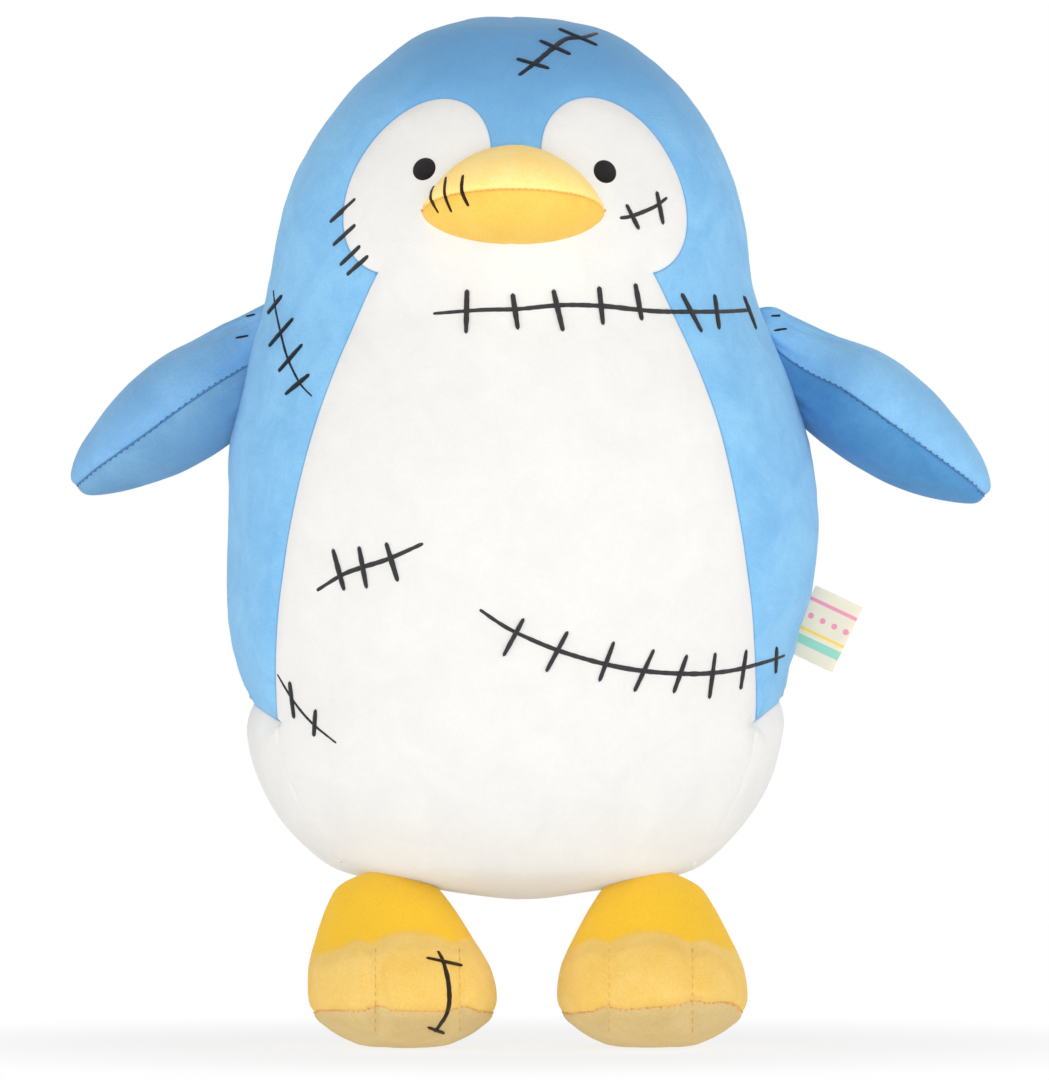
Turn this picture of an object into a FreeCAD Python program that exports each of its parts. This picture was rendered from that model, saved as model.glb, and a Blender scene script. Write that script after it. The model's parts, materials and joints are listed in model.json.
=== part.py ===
import FreeCAD, Part
import Sketcher
import math
import os
import re

# Plush penguin, standing on its own two feet.  Millimetres, +Z up, +X to the toy's left, facing -Y.
# The origin is on the floor under the middle of the toy.  Everything is drawn about the torso's own
# axis, and each finished piece is then set back by body_setback.
# Every cover is a shell of plush cloth cut into its sewn panels, around a separate wad of filling.

doc = FreeCAD.newDocument("plush_penguin")
Vector = FreeCAD.Vector

# ---------------------------------------------------------------- driving dimensions

SIZES = [
    # torso: an egg with a round head, a slight neck and a crease where blue meets white
    ("body_top", 400.0, "crown above the floor"),
    ("body_bottom", 55.0, "lowest point of the base above the floor"),
    ("body_setback", 4.2, "torso axis behind the origin"),
    ("body_half_width", 115.0, "widest half width"),
    ("body_half_depth", 97.0, "half depth at the same height"),
    ("belly_height", 200.0, "height of the widest point"),
    ("waist_height", 134.0, "height of the crease between blue and white"),
    ("head_radius", 93.0, "dome of the head"),
    ("neck_radius", 60.0, "hollow between head and flank"),
    ("flank_radius", 217.0, "bulge of the sides"),
    ("lower_radius", 62.0, "round turn into the base"),
    ("base_radius", 180.0, "slight bulge of the underside"),
    ("base_half_width", 74.0, "half width of the oval base panel"),
    ("base_half_depth", 60.0, "half depth of the oval base panel"),
    ("side_seam_back", 6.0, "side seam behind the torso axis"),
    # white front: a belly panel with two face lobes above it
    ("belly_panel_half_width", 94.5, "half width of the belly panel"),
    ("belly_panel_height", 150.0, "height where it is widest"),
    ("belly_side_radius", 303.0, "long curve of its sides"),
    ("notch_half_width", 54.5, "notch between belly and face, from the middle"),
    ("notch_height", 297.0, "height of that notch"),
    ("bridge_height", 341.0, "point of the blue peak between the lobes"),
    ("lobe_half_length", 37.4, "face lobe, long half axis"),
    ("lobe_half_width", 24.5, "face lobe, short half axis"),
    ("lobe_spread", 38.7, "lobe centre from the middle of the face"),
    ("lobe_height", 334.0, "height of the lobe centres"),
    ("lobe_lean", 32.0, "lobes lean together at the top, degrees"),
    # cloth and fits
    ("cloth", 2.0, "thickness of the plush cloth"),
    ("clearance", 0.3, "space between a wad and its cover, and at each joint"),
    # eyes
    ("eye_radius", 4.7, "round embroidered eye"),
    ("eye_raise", 1.3, "how far it stands proud of the cloth"),
    ("eye_spread", 35.0, "eye from the middle of the face"),
    ("eye_height", 340.0, "height of the eyes"),
    # beak
    ("beak_half_width", 35.8, "half width"),
    ("beak_half_height", 19.0, "half height"),
    ("beak_half_depth", 34.0, "half depth before it is cut to the face"),
    ("beak_corner_radius", 4.5, "rounding of its two corners"),
    ("beak_sink", 4.0, "how far its middle sits behind the face"),
    ("beak_height", 330.0, "height of its middle"),
    ("beak_tilt", 12.0, "upward tilt, degrees"),
    # wings
    ("wing_height", 268.0, "height of the shoulder hinge"),
    ("wing_spread", 101.0, "shoulder hinge from the torso axis"),
    ("wing_droop", 33.0, "below level at rest, degrees"),
    ("wing_press", 3.0, "how far it can be pressed down from there, degrees"),
    ("wing_lift", 45.0, "how far it can be lifted from there, degrees"),
    ("wing_length", 97.0, "shoulder hinge to tip"),
    ("wing_root_radius", 14.0, "round root of the wing"),
    ("wing_tip_radius", 8.5, "round tip"),
    ("wing_bulge_radius", 105.0, "long curve from root to tip"),
    ("wing_chord_ratio", 1.45, "front to back over thickness"),
    # feet
    ("foot_spread", 48.5, "foot from the middle of the toy"),
    ("foot_forward", 25.0, "middle of the sole in front of the torso axis"),
    ("sole_half_width", 22.0, "flat part of the sole"),
    ("sole_half_length", 50.0, "flat part of the sole"),
    ("sole_press", 0.4, "height pressed flat by the floor"),
    ("seam_height", 11.0, "seam between top and sole"),
    ("seam_half_width", 35.0, "foot at its seam"),
    ("seam_half_length", 61.0, "foot at its seam"),
    ("toe_height", 24.0, "height of the fullest part"),
    ("toe_half_width", 36.7, "fullest part"),
    ("toe_half_length", 63.0, "fullest part"),
    ("instep_height", 43.0, "height of the instep"),
    ("instep_half_width", 30.7, "instep"),
    ("instep_half_length", 49.0, "instep"),
    ("instep_forward", 9.0, "instep in front of the middle of the sole"),
    ("crest_height", 57.0, "height of the crest"),
    ("crest_half_width", 19.0, "crest"),
    ("crest_half_length", 25.0, "crest"),
    ("crest_forward", 23.0, "crest in front of the middle of the sole"),
    ("foot_height", 62.5, "top of the foot"),
    ("top_half_width", 8.0, "top of the foot"),
    ("top_half_length", 11.0, "top of the foot"),
    ("top_forward", 28.0, "top in front of the middle of the sole"),
    ("ankle_forward", 10.0, "ankle hinge in front of the torso axis"),
    ("ankle_height", 50.0, "height of the ankle hinge"),
    ("ankle_radius", 19.0, "round ankle about its hinge"),
    ("ankle_half_width", 23.0, "ankle along its hinge"),
    ("toe_line_spread", 15.7, "sewn toe line from the middle of the foot"),
    ("toe_line_width", 1.4, "width of the pulled-in line"),
    ("toe_line_depth", 1.0, "depth of the pulled-in line"),
    ("toe_line_height", 40.0, "upper end of the line"),
    # plain woven side label, a folded ribbon
    ("label_height", 165.0, "height of its middle"),
    ("label_length", 28.0, "along the seam"),
    ("label_reach", 20.0, "out from the seam"),
    ("label_twist", 12.0, "turned down from square to the seam, degrees"),
    ("ribbon", 0.5, "thickness of one layer"),
    ("fold_gap", 0.4, "space between its two layers"),
]

sheet = doc.addObject("Spreadsheet::Sheet", "Sizes")
for row, (alias, value, meaning) in enumerate(SIZES, start=1):
    sheet.set("A%d" % row, alias)
    sheet.set("B%d" % row, str(value))
    sheet.set("C%d" % row, meaning)
    sheet.setAlias("B%d" % row, alias)
doc.recompute()


def size(alias):
    return float(sheet.get(alias))


# ---------------------------------------------------------------- helpers

def add(kind, name, formulas=None, **properties):
    """A document object with plain properties, and formulas that read the sheet."""
    thing = doc.addObject(kind, name)
    for key, value in properties.items():
        setattr(thing, key, value)
    for key, formula in (formulas or {}).items():
        thing.setExpression(key, with_sheet(formula))
    return thing


def with_sheet(formula):
    """Write each size's name in a formula as a reference to its cell."""
    aliases = {alias for alias, value, meaning in SIZES}
    return re.sub(r"[a-z_]+", lambda word: "Sizes." + word[0] if word[0] in aliases else word[0], formula)


def cut(name, base, tool):
    return add("Part::Cut", name, Base=base, Tool=tool)


def common(name, base, tool):
    return add("Part::Common", name, Base=base, Tool=tool)


def fuse(name, *shapes):
    return add("Part::MultiFuse", name, Shapes=list(shapes))


def mirrored(name, source):
    """The same thing on the toy's right."""
    return add("Part::Mirroring", name, Source=source, Base=Vector(0, 0, 0), Normal=Vector(1, 0, 0))


def place(shape, x="0", y="0", z="0", lean="0"):
    """Move a shape by formulas, after turning it about Y by a lean in degrees, downward at +X."""
    shape.Placement = FreeCAD.Placement(Vector(0, 0, 0), FreeCAD.Rotation(Vector(0, 1, 0), 1))
    for key, formula in (("Base.x", x), ("Base.y", y), ("Base.z", z), ("Rotation.Angle", lean + " * 1deg")):
        shape.setExpression("Placement." + key, with_sheet(formula))
    return shape


NODES = []


def node(name, shape):
    """A finished piece of the toy, under its own name."""
    shape.Label = name
    NODES.append(shape)


def torso_node(name, shape):
    """A finished piece drawn about the torso's axis, which stands behind the origin."""
    shape.setExpression("Placement.Base.y", "Sizes.body_setback")
    node(name, shape)


def pair_of_nodes(start, end, left):
    """A finished piece on the toy's left, and its mirror image on the right."""
    node(start + "_left_" + end, left)
    node(start + "_right_" + end, mirrored(start + "_right_" + end + "_shape", left))


def upright_sketch(name):
    """A sketch on the XZ plane, with its own y along +Z."""
    sketch = doc.addObject("Sketcher::SketchObject", name)
    sketch.Placement = FreeCAD.Placement(Vector(0, 0, 0), FreeCAD.Rotation(Vector(1, 0, 0), 90))
    return sketch


def arc(sketch, centre, start, end):
    """An arc about a centre, counter-clockwise from one point to the other."""
    first, last = start - centre, end - centre
    circle = Part.Circle(centre, Vector(0, 0, 1), first.Length)
    sweep = Part.ArcOfCircle(circle, math.atan2(first.y, first.x), math.atan2(last.y, last.x))
    return sketch.addGeometry(sweep, False)


def line(sketch, start, end):
    return sketch.addGeometry(Part.LineSegment(start, end), False)


def hold(sketch, kind, *where_and_formula):
    """Drive a radius, or the x or y of one point, by a formula."""
    *where, formula = where_and_formula
    geometry = where[0]
    if kind == "Radius":
        constraint = Sketcher.Constraint("Radius", geometry, sketch.Geometry[geometry].Radius)
    else:
        spot = sketch.getPoint(geometry, where[1])
        value = spot.x if kind == "DistanceX" else spot.y
        constraint = Sketcher.Constraint(kind, -1, 1, geometry, where[1], value)
    number = sketch.addConstraint(constraint)
    sketch.setExpression("Constraints[%d]" % number, with_sheet(formula))


def join(sketch, kind, first, first_end, second, second_end):
    sketch.addConstraint(Sketcher.Constraint(kind, first, first_end, second, second_end))


def on_axis(sketch, geometry, point, axis):
    sketch.addConstraint(Sketcher.Constraint("PointOnObject", geometry, point, axis))


START, END, CENTRE = 1, 2, 3
LEVEL_AXIS, UPRIGHT_AXIS = -1, -2


def meeting(first, first_reach, second, second_reach, turn):
    """The point at given reaches from two others, to the left (1) or right (-1) of the way between."""
    way = second - first
    gap = way.Length
    along = (first_reach ** 2 - second_reach ** 2 + gap ** 2) / (2 * gap)
    across = math.sqrt(first_reach ** 2 - along ** 2)
    way.normalize()
    return first + way * along + Vector(-way.y, way.x, 0) * across * turn


# ---------------------------------------------------------------- torso form

def torso_profile():
    """Half outline from crown to base: dome, neck, flank, crease, lower turn and underside."""
    head_r, neck_r, flank_r = size("head_radius"), size("neck_radius"), size("flank_radius")
    lower_r, base_r = size("lower_radius"), size("base_radius")
    head = Vector(0, size("body_top") - head_r, 0)
    flank = Vector(size("body_half_width") - flank_r, size("belly_height"), 0)
    base = Vector(0, size("body_bottom") + base_r, 0)
    neck = meeting(head, head_r + neck_r, flank, flank_r + neck_r, 1)
    crease_rise = size("waist_height") - flank.y
    crease = Vector(flank.x + math.sqrt(flank_r ** 2 - crease_rise ** 2), size("waist_height"), 0)
    lower = meeting(base, base_r - lower_r, crease, lower_r, -1)
    top, bottom = Vector(0, size("body_top"), 0), Vector(0, size("body_bottom"), 0)
    head_end = head + (neck - head) * (head_r / (head_r + neck_r))
    flank_top = flank + (neck - flank) * (flank_r / (flank_r + neck_r))
    base_end = base + (lower - base) * (base_r / (base_r - lower_r))

    sketch = upright_sketch("torso_profile")
    dome = arc(sketch, head, head_end, top)
    hollow = arc(sketch, neck, head_end, flank_top)
    side = arc(sketch, flank, crease, flank_top)
    turn = arc(sketch, lower, base_end, crease)
    under = arc(sketch, base, bottom, base_end)
    axis = line(sketch, top, bottom)
    join(sketch, "Tangent", dome, START, hollow, START)
    join(sketch, "Tangent", hollow, END, side, END)
    join(sketch, "Coincident", side, START, turn, END)
    join(sketch, "Tangent", turn, START, under, END)
    join(sketch, "Coincident", dome, END, axis, START)
    join(sketch, "Coincident", under, START, axis, END)
    for geometry, point in ((dome, CENTRE), (dome, END), (under, CENTRE), (under, START)):
        on_axis(sketch, geometry, point, UPRIGHT_AXIS)
    hold(sketch, "Radius", dome, "head_radius")
    hold(sketch, "DistanceY", dome, CENTRE, "body_top - head_radius")
    hold(sketch, "Radius", hollow, "neck_radius")
    hold(sketch, "Radius", side, "flank_radius")
    hold(sketch, "DistanceX", side, CENTRE, "body_half_width - flank_radius")
    hold(sketch, "DistanceY", side, CENTRE, "belly_height")
    hold(sketch, "DistanceY", side, START, "waist_height")
    hold(sketch, "Radius", turn, "lower_radius")
    hold(sketch, "Radius", under, "base_radius")
    hold(sketch, "DistanceY", under, CENTRE, "body_bottom + base_radius")
    return sketch


torso_round = add("Part::Revolution", "torso_round", Source=torso_profile(), Axis=Vector(0, 0, 1),
                  Base=Vector(0, 0, 0), Angle=360.0, Solid=True)


def torso_form(name, inset):
    """The torso's form made oval, and smaller all round by the inset."""
    half_height = "( ( body_top - body_bottom ) / 2 )"
    middle = "( ( body_top + body_bottom ) / 2 )"
    inset = "( " + inset + " )"
    return add("Part::Scale", name, {
        "XScale": "( body_half_width - " + inset + " ) / body_half_width",
        "YScale": "( body_half_depth - " + inset + " ) / body_half_width",
        "ZScale": "( " + half_height + " - " + inset + " ) / " + half_height,
        "Placement.Base.z": middle + " * " + inset + " / " + half_height,
    }, Base=torso_round, Uniform=False)


outer_form = torso_form("outer_form", "0")
lining_form = torso_form("lining_form", "cloth")
filling_form = torso_form("filling_form", "cloth + clearance")
eye_form = torso_form("eye_form", "0 - eye_raise")


# ---------------------------------------------------------------- wings

def wing_form(name, inset):
    """The left wing: a round root, a long bulge and a round tip, widened front to back.
    Its root is round about the hinge, so it turns inside its seat in the shoulder."""
    root_r = size("wing_root_radius")
    tip_r = size("wing_tip_radius")
    bulge_r = size("wing_bulge_radius")
    root, tip = Vector(0, 0, 0), Vector(size("wing_length") - tip_r, 0, 0)
    bulge = meeting(root, bulge_r - root_r, tip, bulge_r - tip_r, -1)
    root_end = root + (root - bulge) * (root_r / (bulge_r - root_r))
    tip_end = tip + (tip - bulge) * (tip_r / (bulge_r - tip_r))

    sketch = upright_sketch(name + "_profile")
    butt = arc(sketch, root, root_end, root - Vector(root_r, 0, 0))
    back = arc(sketch, bulge, tip_end, root_end)
    nose = arc(sketch, tip, tip + Vector(tip_r, 0, 0), tip_end)
    axis = line(sketch, root - Vector(root_r, 0, 0), tip + Vector(tip_r, 0, 0))
    join(sketch, "Tangent", butt, START, back, END)
    join(sketch, "Tangent", back, START, nose, END)
    join(sketch, "Coincident", butt, END, axis, START)
    join(sketch, "Coincident", nose, START, axis, END)
    join(sketch, "Coincident", butt, CENTRE, -1, START)
    on_axis(sketch, butt, END, LEVEL_AXIS)
    on_axis(sketch, nose, CENTRE, LEVEL_AXIS)
    on_axis(sketch, nose, START, LEVEL_AXIS)
    hold(sketch, "Radius", butt, "wing_root_radius - ( " + inset + " )")
    hold(sketch, "Radius", back, "wing_bulge_radius - ( " + inset + " )")
    hold(sketch, "Radius", nose, "wing_tip_radius - ( " + inset + " )")
    hold(sketch, "DistanceX", nose, CENTRE, "wing_length - wing_tip_radius")
    turned = add("Part::Revolution", name + "_round", Source=sketch, Axis=Vector(1, 0, 0),
                 Base=Vector(0, 0, 0), Angle=360.0, Solid=True)
    return add("Part::Scale", name, {"YScale": "wing_chord_ratio"}, Base=turned, Uniform=False,
               XScale=1.0, ZScale=1.0)


def at_shoulder(shape, setback="0", lift="0"):
    return place(shape, "wing_spread", "side_seam_back + " + setback, "wing_height",
                 "( wing_droop - ( " + lift + " ) )")


wing_outer = wing_form("wing_outer", "0")
wing_filling = wing_form("wing_filling", "cloth + clearance")
wing_cloth = cut("wing_cloth", wing_outer, wing_form("wing_lining", "cloth"))
wing_underside = add("Part::Box", "wing_underside", {
    "Length": "2 * wing_length",
    "Width": "2 * wing_length",
    "Height": "wing_length",
    "Placement.Base.x": "0 - wing_length / 2",
    "Placement.Base.y": "0 - wing_length",
    "Placement.Base.z": "0 - wing_length",
})
for piece, shape in (("upper_panel", cut("wing_upper_panel", wing_cloth, wing_underside)),
                     ("lower_panel", common("wing_lower_panel", wing_cloth, wing_underside)),
                     ("filling", wing_filling)):
    pair_of_nodes("wing", piece, at_shoulder(shape, "body_setback"))
# the seat is open from one end of the wing's travel to the other
wing_seat = fuse("wing_seat", at_shoulder(wing_form("wing_pressed", "0 - clearance"), lift="0 - wing_press"),
                 at_shoulder(wing_form("wing_lifted", "0 - clearance"), lift="wing_lift"))

# ---------------------------------------------------------------- feet

def foot_form(name, inset):
    """A cushion through oval sections, flat where it stands, with a round ankle on top."""
    sections = []
    for level, height, forward in (("sole", "0", "0"), ("seam", "seam_height", "0"),
                                   ("toe", "toe_height", "0"),
                                   ("instep", "instep_height", "instep_forward"),
                                   ("crest", "crest_height", "crest_forward"),
                                   ("top", "foot_height", "top_forward")):
        oval = add("Part::Ellipse", name + "_" + level, {
            "MajorRadius": level + "_half_length",
            "MinorRadius": level + "_half_width",
            "Placement.Base.y": "0 - " + forward,
            "Placement.Base.z": height,
        })
        oval.Placement.Rotation = FreeCAD.Rotation(Vector(0, 0, 1), 90)
        sections.append(oval)
    cushion = add("Part::Loft", name + "_cushion", Sections=sections, Solid=True, Ruled=False)
    half_height = "( foot_height / 2 )"
    return add("Part::Scale", name, {
        "XScale": "( toe_half_width - " + inset + " ) / toe_half_width",
        "YScale": "( toe_half_length - " + inset + " ) / toe_half_length",
        "ZScale": "( " + half_height + " - " + inset + " ) / " + half_height,
        "Placement.Base.x": "foot_spread",
        "Placement.Base.y": "0 - foot_forward",
        "Placement.Base.z": inset + " - sole_press",
    }, Base=cushion, Uniform=False)


def ankle_form(name, outset):
    """The round ankle, the same all the way round its sideways hinge."""
    return add("Part::Ellipsoid", name, {
        "Radius1": "ankle_radius + " + outset,
        "Radius2": "ankle_half_width + " + outset,
        "Radius3": "ankle_radius + " + outset,
        "Placement.Base.x": "foot_spread",
        "Placement.Base.y": "0 - ankle_forward",
        "Placement.Base.z": "ankle_height",
    }, Angle1=-90.0, Angle2=90.0, Angle3=360.0)


def whole_foot(name, inset):
    return fuse(name, foot_form(name + "_cushion_form", inset),
                ankle_form(name + "_ankle", "0 - ( " + inset + " )"))


foot_outer = whole_foot("foot_outer", "0")
foot_cloth = cut("foot_cloth", foot_outer, whole_foot("foot_lining", "cloth"))
foot_filling = whole_foot("foot_filling", "( cloth + clearance )")
sole_block = add("Part::Box", "sole_block", {
    "Length": "2 * foot_spread",
    "Width": "4 * toe_half_length",
    "Height": "seam_height",
    "Placement.Base.y": "0 - foot_forward - 2 * toe_half_length",
})
top_block = add("Part::Box", "top_block", {
    "Length": "2 * foot_spread",
    "Width": "4 * toe_half_length",
    "Height": "2 * foot_height",
    "Placement.Base.y": "0 - foot_forward - 2 * toe_half_length",
    "Placement.Base.z": "seam_height",
})
toe_lines = []
for number, side in enumerate(("-", "+"), start=1):
    toe_lines.append(add("Part::Box", "toe_line_%d" % number, {
        "Length": "toe_line_width",
        "Width": "toe_half_length",
        "Height": "toe_line_height - toe_line_depth",
        "Placement.Base.x": "foot_spread %s toe_line_spread - toe_line_width / 2" % side,
        "Placement.Base.y": "0 - foot_forward - 1.75 * toe_half_length",
        "Placement.Base.z": "toe_line_depth",
    }))
puffed = cut("foot_puffed", foot_cloth, cut("toe_creases", fuse("toe_lines", *toe_lines),
                                            foot_form("toe_bottoms", "toe_line_depth")))
for piece, shape in (("top_panel", common("foot_top", puffed, top_block)),
                     ("sole_panel", common("foot_sole", puffed, sole_block)),
                     ("filling", foot_filling)):
    shape.setExpression("Placement.Base.y", "Sizes.body_setback")
    pair_of_nodes("foot", piece, shape)
ankle_seat = ankle_form("ankle_seat", "clearance")

# ---------------------------------------------------------------- torso covers and filling

def flip(point):
    return Vector(-point.x, point.y, 0)


def front_outline():
    """The belly panel with its round lower end, up to the notches and the blue peak."""
    half, middle = size("belly_panel_half_width"), Vector(0, size("belly_panel_height"), 0)
    notch, peak = Vector(size("notch_half_width"), size("notch_height"), 0), Vector(0, size("bridge_height"), 0)
    widest = middle + Vector(half, 0, 0)
    side = meeting(widest, size("belly_side_radius"), notch, size("belly_side_radius"), 1)

    sketch = upright_sketch("front_outline")
    lower = arc(sketch, middle, flip(widest), widest)
    left = arc(sketch, side, widest, notch)
    right = arc(sketch, flip(side), flip(notch), flip(widest))
    left_slope, right_slope = line(sketch, notch, peak), line(sketch, peak, flip(notch))
    join(sketch, "Coincident", lower, END, left, START)
    join(sketch, "Coincident", left, END, left_slope, START)
    join(sketch, "Coincident", left_slope, END, right_slope, START)
    join(sketch, "Coincident", right_slope, END, right, START)
    join(sketch, "Coincident", right, END, lower, START)
    hold(sketch, "Radius", left, "belly_side_radius")
    hold(sketch, "Radius", right, "belly_side_radius")
    hold(sketch, "DistanceY", lower, CENTRE, "belly_panel_height")
    for geometry, point, x, y in ((left, START, "belly_panel_half_width", "belly_panel_height"),
                                  (right, END, "0 - belly_panel_half_width", "belly_panel_height"),
                                  (left, END, "notch_half_width", "notch_height"),
                                  (right, START, "0 - notch_half_width", "notch_height")):
        hold(sketch, "DistanceX", geometry, point, x)
        hold(sketch, "DistanceY", geometry, point, y)
    on_axis(sketch, left_slope, END, UPRIGHT_AXIS)
    hold(sketch, "DistanceY", left_slope, END, "bridge_height")
    return sketch


def forward_prism(name, outline):
    return add("Part::Extrusion", name, {"LengthFwd": "2 * body_half_depth"}, Base=outline,
               Dir=Vector(0, -1, 0), Solid=True, DirMode="Custom")


lobe_outline = add("Part::Ellipse", "lobe_outline", {
    "MajorRadius": "lobe_half_length",
    "MinorRadius": "lobe_half_width",
    "Placement": "create(<<placement>>; create(<<vector>>; lobe_spread; 0; lobe_height); "
                 "create(<<rotation>>; 0; 90 - lobe_lean; 90))",
})
left_lobe = forward_prism("left_lobe", lobe_outline)
front_region = fuse("front_region", forward_prism("belly_region", front_outline()),
                    left_lobe, mirrored("right_lobe", left_lobe))
base_outline = add("Part::Ellipse", "base_outline", {
    "MajorRadius": "base_half_width",
    "MinorRadius": "base_half_depth",
})
base_region = add("Part::Extrusion", "base_region", {"LengthFwd": "waist_height"}, Base=base_outline,
                  Dir=Vector(0, 0, 1), Solid=True, DirMode="Custom")


def block(name, x, y, z):
    """A block as large as the torso or larger, from one corner."""
    return add("Part::Box", name, {
        "Length": "4 * body_half_width",
        "Width": "4 * body_half_width",
        "Height": "body_top",
        "Placement.Base.x": x,
        "Placement.Base.y": y,
        "Placement.Base.z": z,
    })


above_waist = block("above_waist", "0 - 2 * body_half_width", "0 - 2 * body_half_width", "waist_height")
before_seam = block("before_seam", "0 - 2 * body_half_width", "side_seam_back - 4 * body_half_width", "0")
left_half = block("left_half", "0", "0 - 2 * body_half_width", "0")

seats = fuse("seats", wing_seat, mirrored("wing_seat_right", wing_seat),
             ankle_seat, mirrored("ankle_seat_right", ankle_seat))
torso_cloth = cut("torso_cloth", outer_form, fuse("torso_hollow", lining_form, seats))
around_base = cut("around_base", torso_cloth, base_region)
blue_and_sides = cut("blue_and_sides", around_base, front_region)
blue = common("blue", blue_and_sides, above_waist)
white_sides = cut("white_sides", blue_and_sides, above_waist)
blue_back = cut("blue_back", blue, before_seam)
torso_node("front_panel", common("front_panel_shape", around_base, front_region))
torso_node("hood_panel", common("hood_shape", blue, before_seam))
torso_node("back_left_panel", common("back_left_shape", blue_back, left_half))
torso_node("back_right_panel", cut("back_right_shape", blue_back, left_half))
torso_node("lower_left_panel", common("lower_left_shape", white_sides, left_half))
torso_node("lower_right_panel", cut("lower_right_shape", white_sides, left_half))
torso_node("base_panel", common("base_panel_shape", torso_cloth, base_region))
torso_node("torso_filling", cut("torso_filling_shape", filling_form, seats))

# ---------------------------------------------------------------- eyes

eye_bar = add("Part::Cylinder", "eye_bar", {
    "Radius": "eye_radius",
    "Height": "2 * body_half_depth",
    "Placement.Base.x": "eye_spread",
    "Placement.Base.z": "eye_height",
})
eye_bar.Placement.Rotation = FreeCAD.Rotation(Vector(1, 0, 0), 90)
left_eye = common("eye_left_shape", cut("raised_layer", eye_form, outer_form), eye_bar)
torso_node("eye_left", left_eye)
node("eye_right", mirrored("eye_right_shape", left_eye))

# ---------------------------------------------------------------- beak

def beak_form(name, inset):
    """A lemon with rounded corners, across the face and tilted up."""
    half_width, half_height = size("beak_half_width"), size("beak_half_height")
    corner_r = size("beak_corner_radius")
    reach = half_width - corner_r
    drop = (reach ** 2 - (half_height - corner_r) ** 2) / (2 * (half_height - corner_r))
    bow, left, right = Vector(0, -drop, 0), Vector(reach, 0, 0), Vector(-reach, 0, 0)
    left_end = left + (left - bow) * (corner_r / (left - bow).Length)
    right_end = Vector(-left_end.x, left_end.y, 0)
    outward = Vector(corner_r, 0, 0)

    sketch = upright_sketch(name + "_profile")
    left_corner = arc(sketch, left, left + outward, left_end)
    top = arc(sketch, bow, left_end, right_end)
    right_corner = arc(sketch, right, right_end, right - outward)
    axis = line(sketch, right - outward, left + outward)
    join(sketch, "Tangent", left_corner, END, top, START)
    join(sketch, "Tangent", top, END, right_corner, START)
    join(sketch, "Coincident", right_corner, END, axis, START)
    join(sketch, "Coincident", left_corner, START, axis, END)
    for geometry, point in ((left_corner, CENTRE), (left_corner, START),
                            (right_corner, CENTRE), (right_corner, END)):
        on_axis(sketch, geometry, point, LEVEL_AXIS)
    reach = "( beak_half_width - beak_corner_radius )"
    rise = "( beak_half_height - beak_corner_radius )"
    hold(sketch, "Radius", left_corner, "beak_corner_radius - " + inset)
    hold(sketch, "Radius", right_corner, "beak_corner_radius - " + inset)
    hold(sketch, "Radius", top, "( %s ^ 2 - %s ^ 2 ) / ( 2 * %s ) + beak_half_height - %s"
         % (reach, rise, rise, inset))
    hold(sketch, "DistanceX", left_corner, CENTRE, reach)
    hold(sketch, "DistanceX", right_corner, CENTRE, "0 - " + reach)
    turned = add("Part::Revolution", name + "_round", Source=sketch, Axis=Vector(1, 0, 0),
                 Base=Vector(0, 0, 0), Angle=360.0, Solid=True)
    form = add("Part::Scale", name, {
        "YScale": "( beak_half_depth - %s ) / ( beak_half_height - %s )" % (inset, inset),
    }, Base=turned, Uniform=False, XScale=1.0, ZScale=1.0)
    return at_face(form)


def at_face(shape):
    """Set on the face: the head is round at that height, made oval by the torso's depth."""
    shape.Placement = FreeCAD.Placement(Vector(0, 0, 0), FreeCAD.Rotation(Vector(-1, 0, 0), 1))
    rise = "( beak_height - body_top + head_radius )"
    for key, formula in (("Base.y", "beak_sink - body_half_depth / body_half_width "
                                    "* sqrt(head_radius ^ 2 - %s ^ 2)" % rise),
                         ("Base.z", "beak_height"),
                         ("Rotation.Angle", "beak_tilt * 1deg")):
        shape.setExpression("Placement." + key, with_sheet(formula))
    return shape


upper_half = add("Part::Box", "beak_upper_half", {
    "Length": "4 * beak_half_width",
    "Width": "4 * beak_half_depth",
    "Height": "2 * beak_half_height",
    "Placement.Base.x": "0 - 2 * beak_half_width",
    "Placement.Base.y": "0 - 2 * beak_half_depth",
})
beak_above = at_face(add("Part::Compound", "beak_above", Links=[upper_half]))
beak_outer = cut("beak_outer", beak_form("beak_lemon", "0"), outer_form)
beak_cloth = cut("beak_cloth", beak_outer, beak_form("beak_lining", "cloth"))
torso_node("beak_upper_panel", common("beak_upper_shape", beak_cloth, beak_above))
torso_node("beak_lower_panel", cut("beak_lower_shape", beak_cloth, beak_above))
torso_node("beak_filling", cut("beak_filling_shape", beak_form("beak_wad", "( cloth + clearance )"),
                               torso_form("beak_back_form", "0 - clearance")))

# ---------------------------------------------------------------- side label

def slot(sketch, radius, start, end):
    """A long hole or stadium about the sketch's own x axis."""
    near, far, across = Vector(0, 0, 0), Vector(10, 0, 0), Vector(0, 1, 0)
    near_arc = arc(sketch, near, near + across, near - across)
    far_arc = arc(sketch, far, far - across, far + across)
    below = line(sketch, near - across, far - across)
    above = line(sketch, far + across, near + across)
    join(sketch, "Tangent", near_arc, END, below, START)
    join(sketch, "Tangent", below, END, far_arc, START)
    join(sketch, "Tangent", far_arc, END, above, START)
    join(sketch, "Tangent", above, END, near_arc, START)
    for geometry, x in ((near_arc, start), (far_arc, end)):
        on_axis(sketch, geometry, CENTRE, LEVEL_AXIS)
        hold(sketch, "DistanceX", geometry, CENTRE, x)
        hold(sketch, "Radius", geometry, radius)


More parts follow.
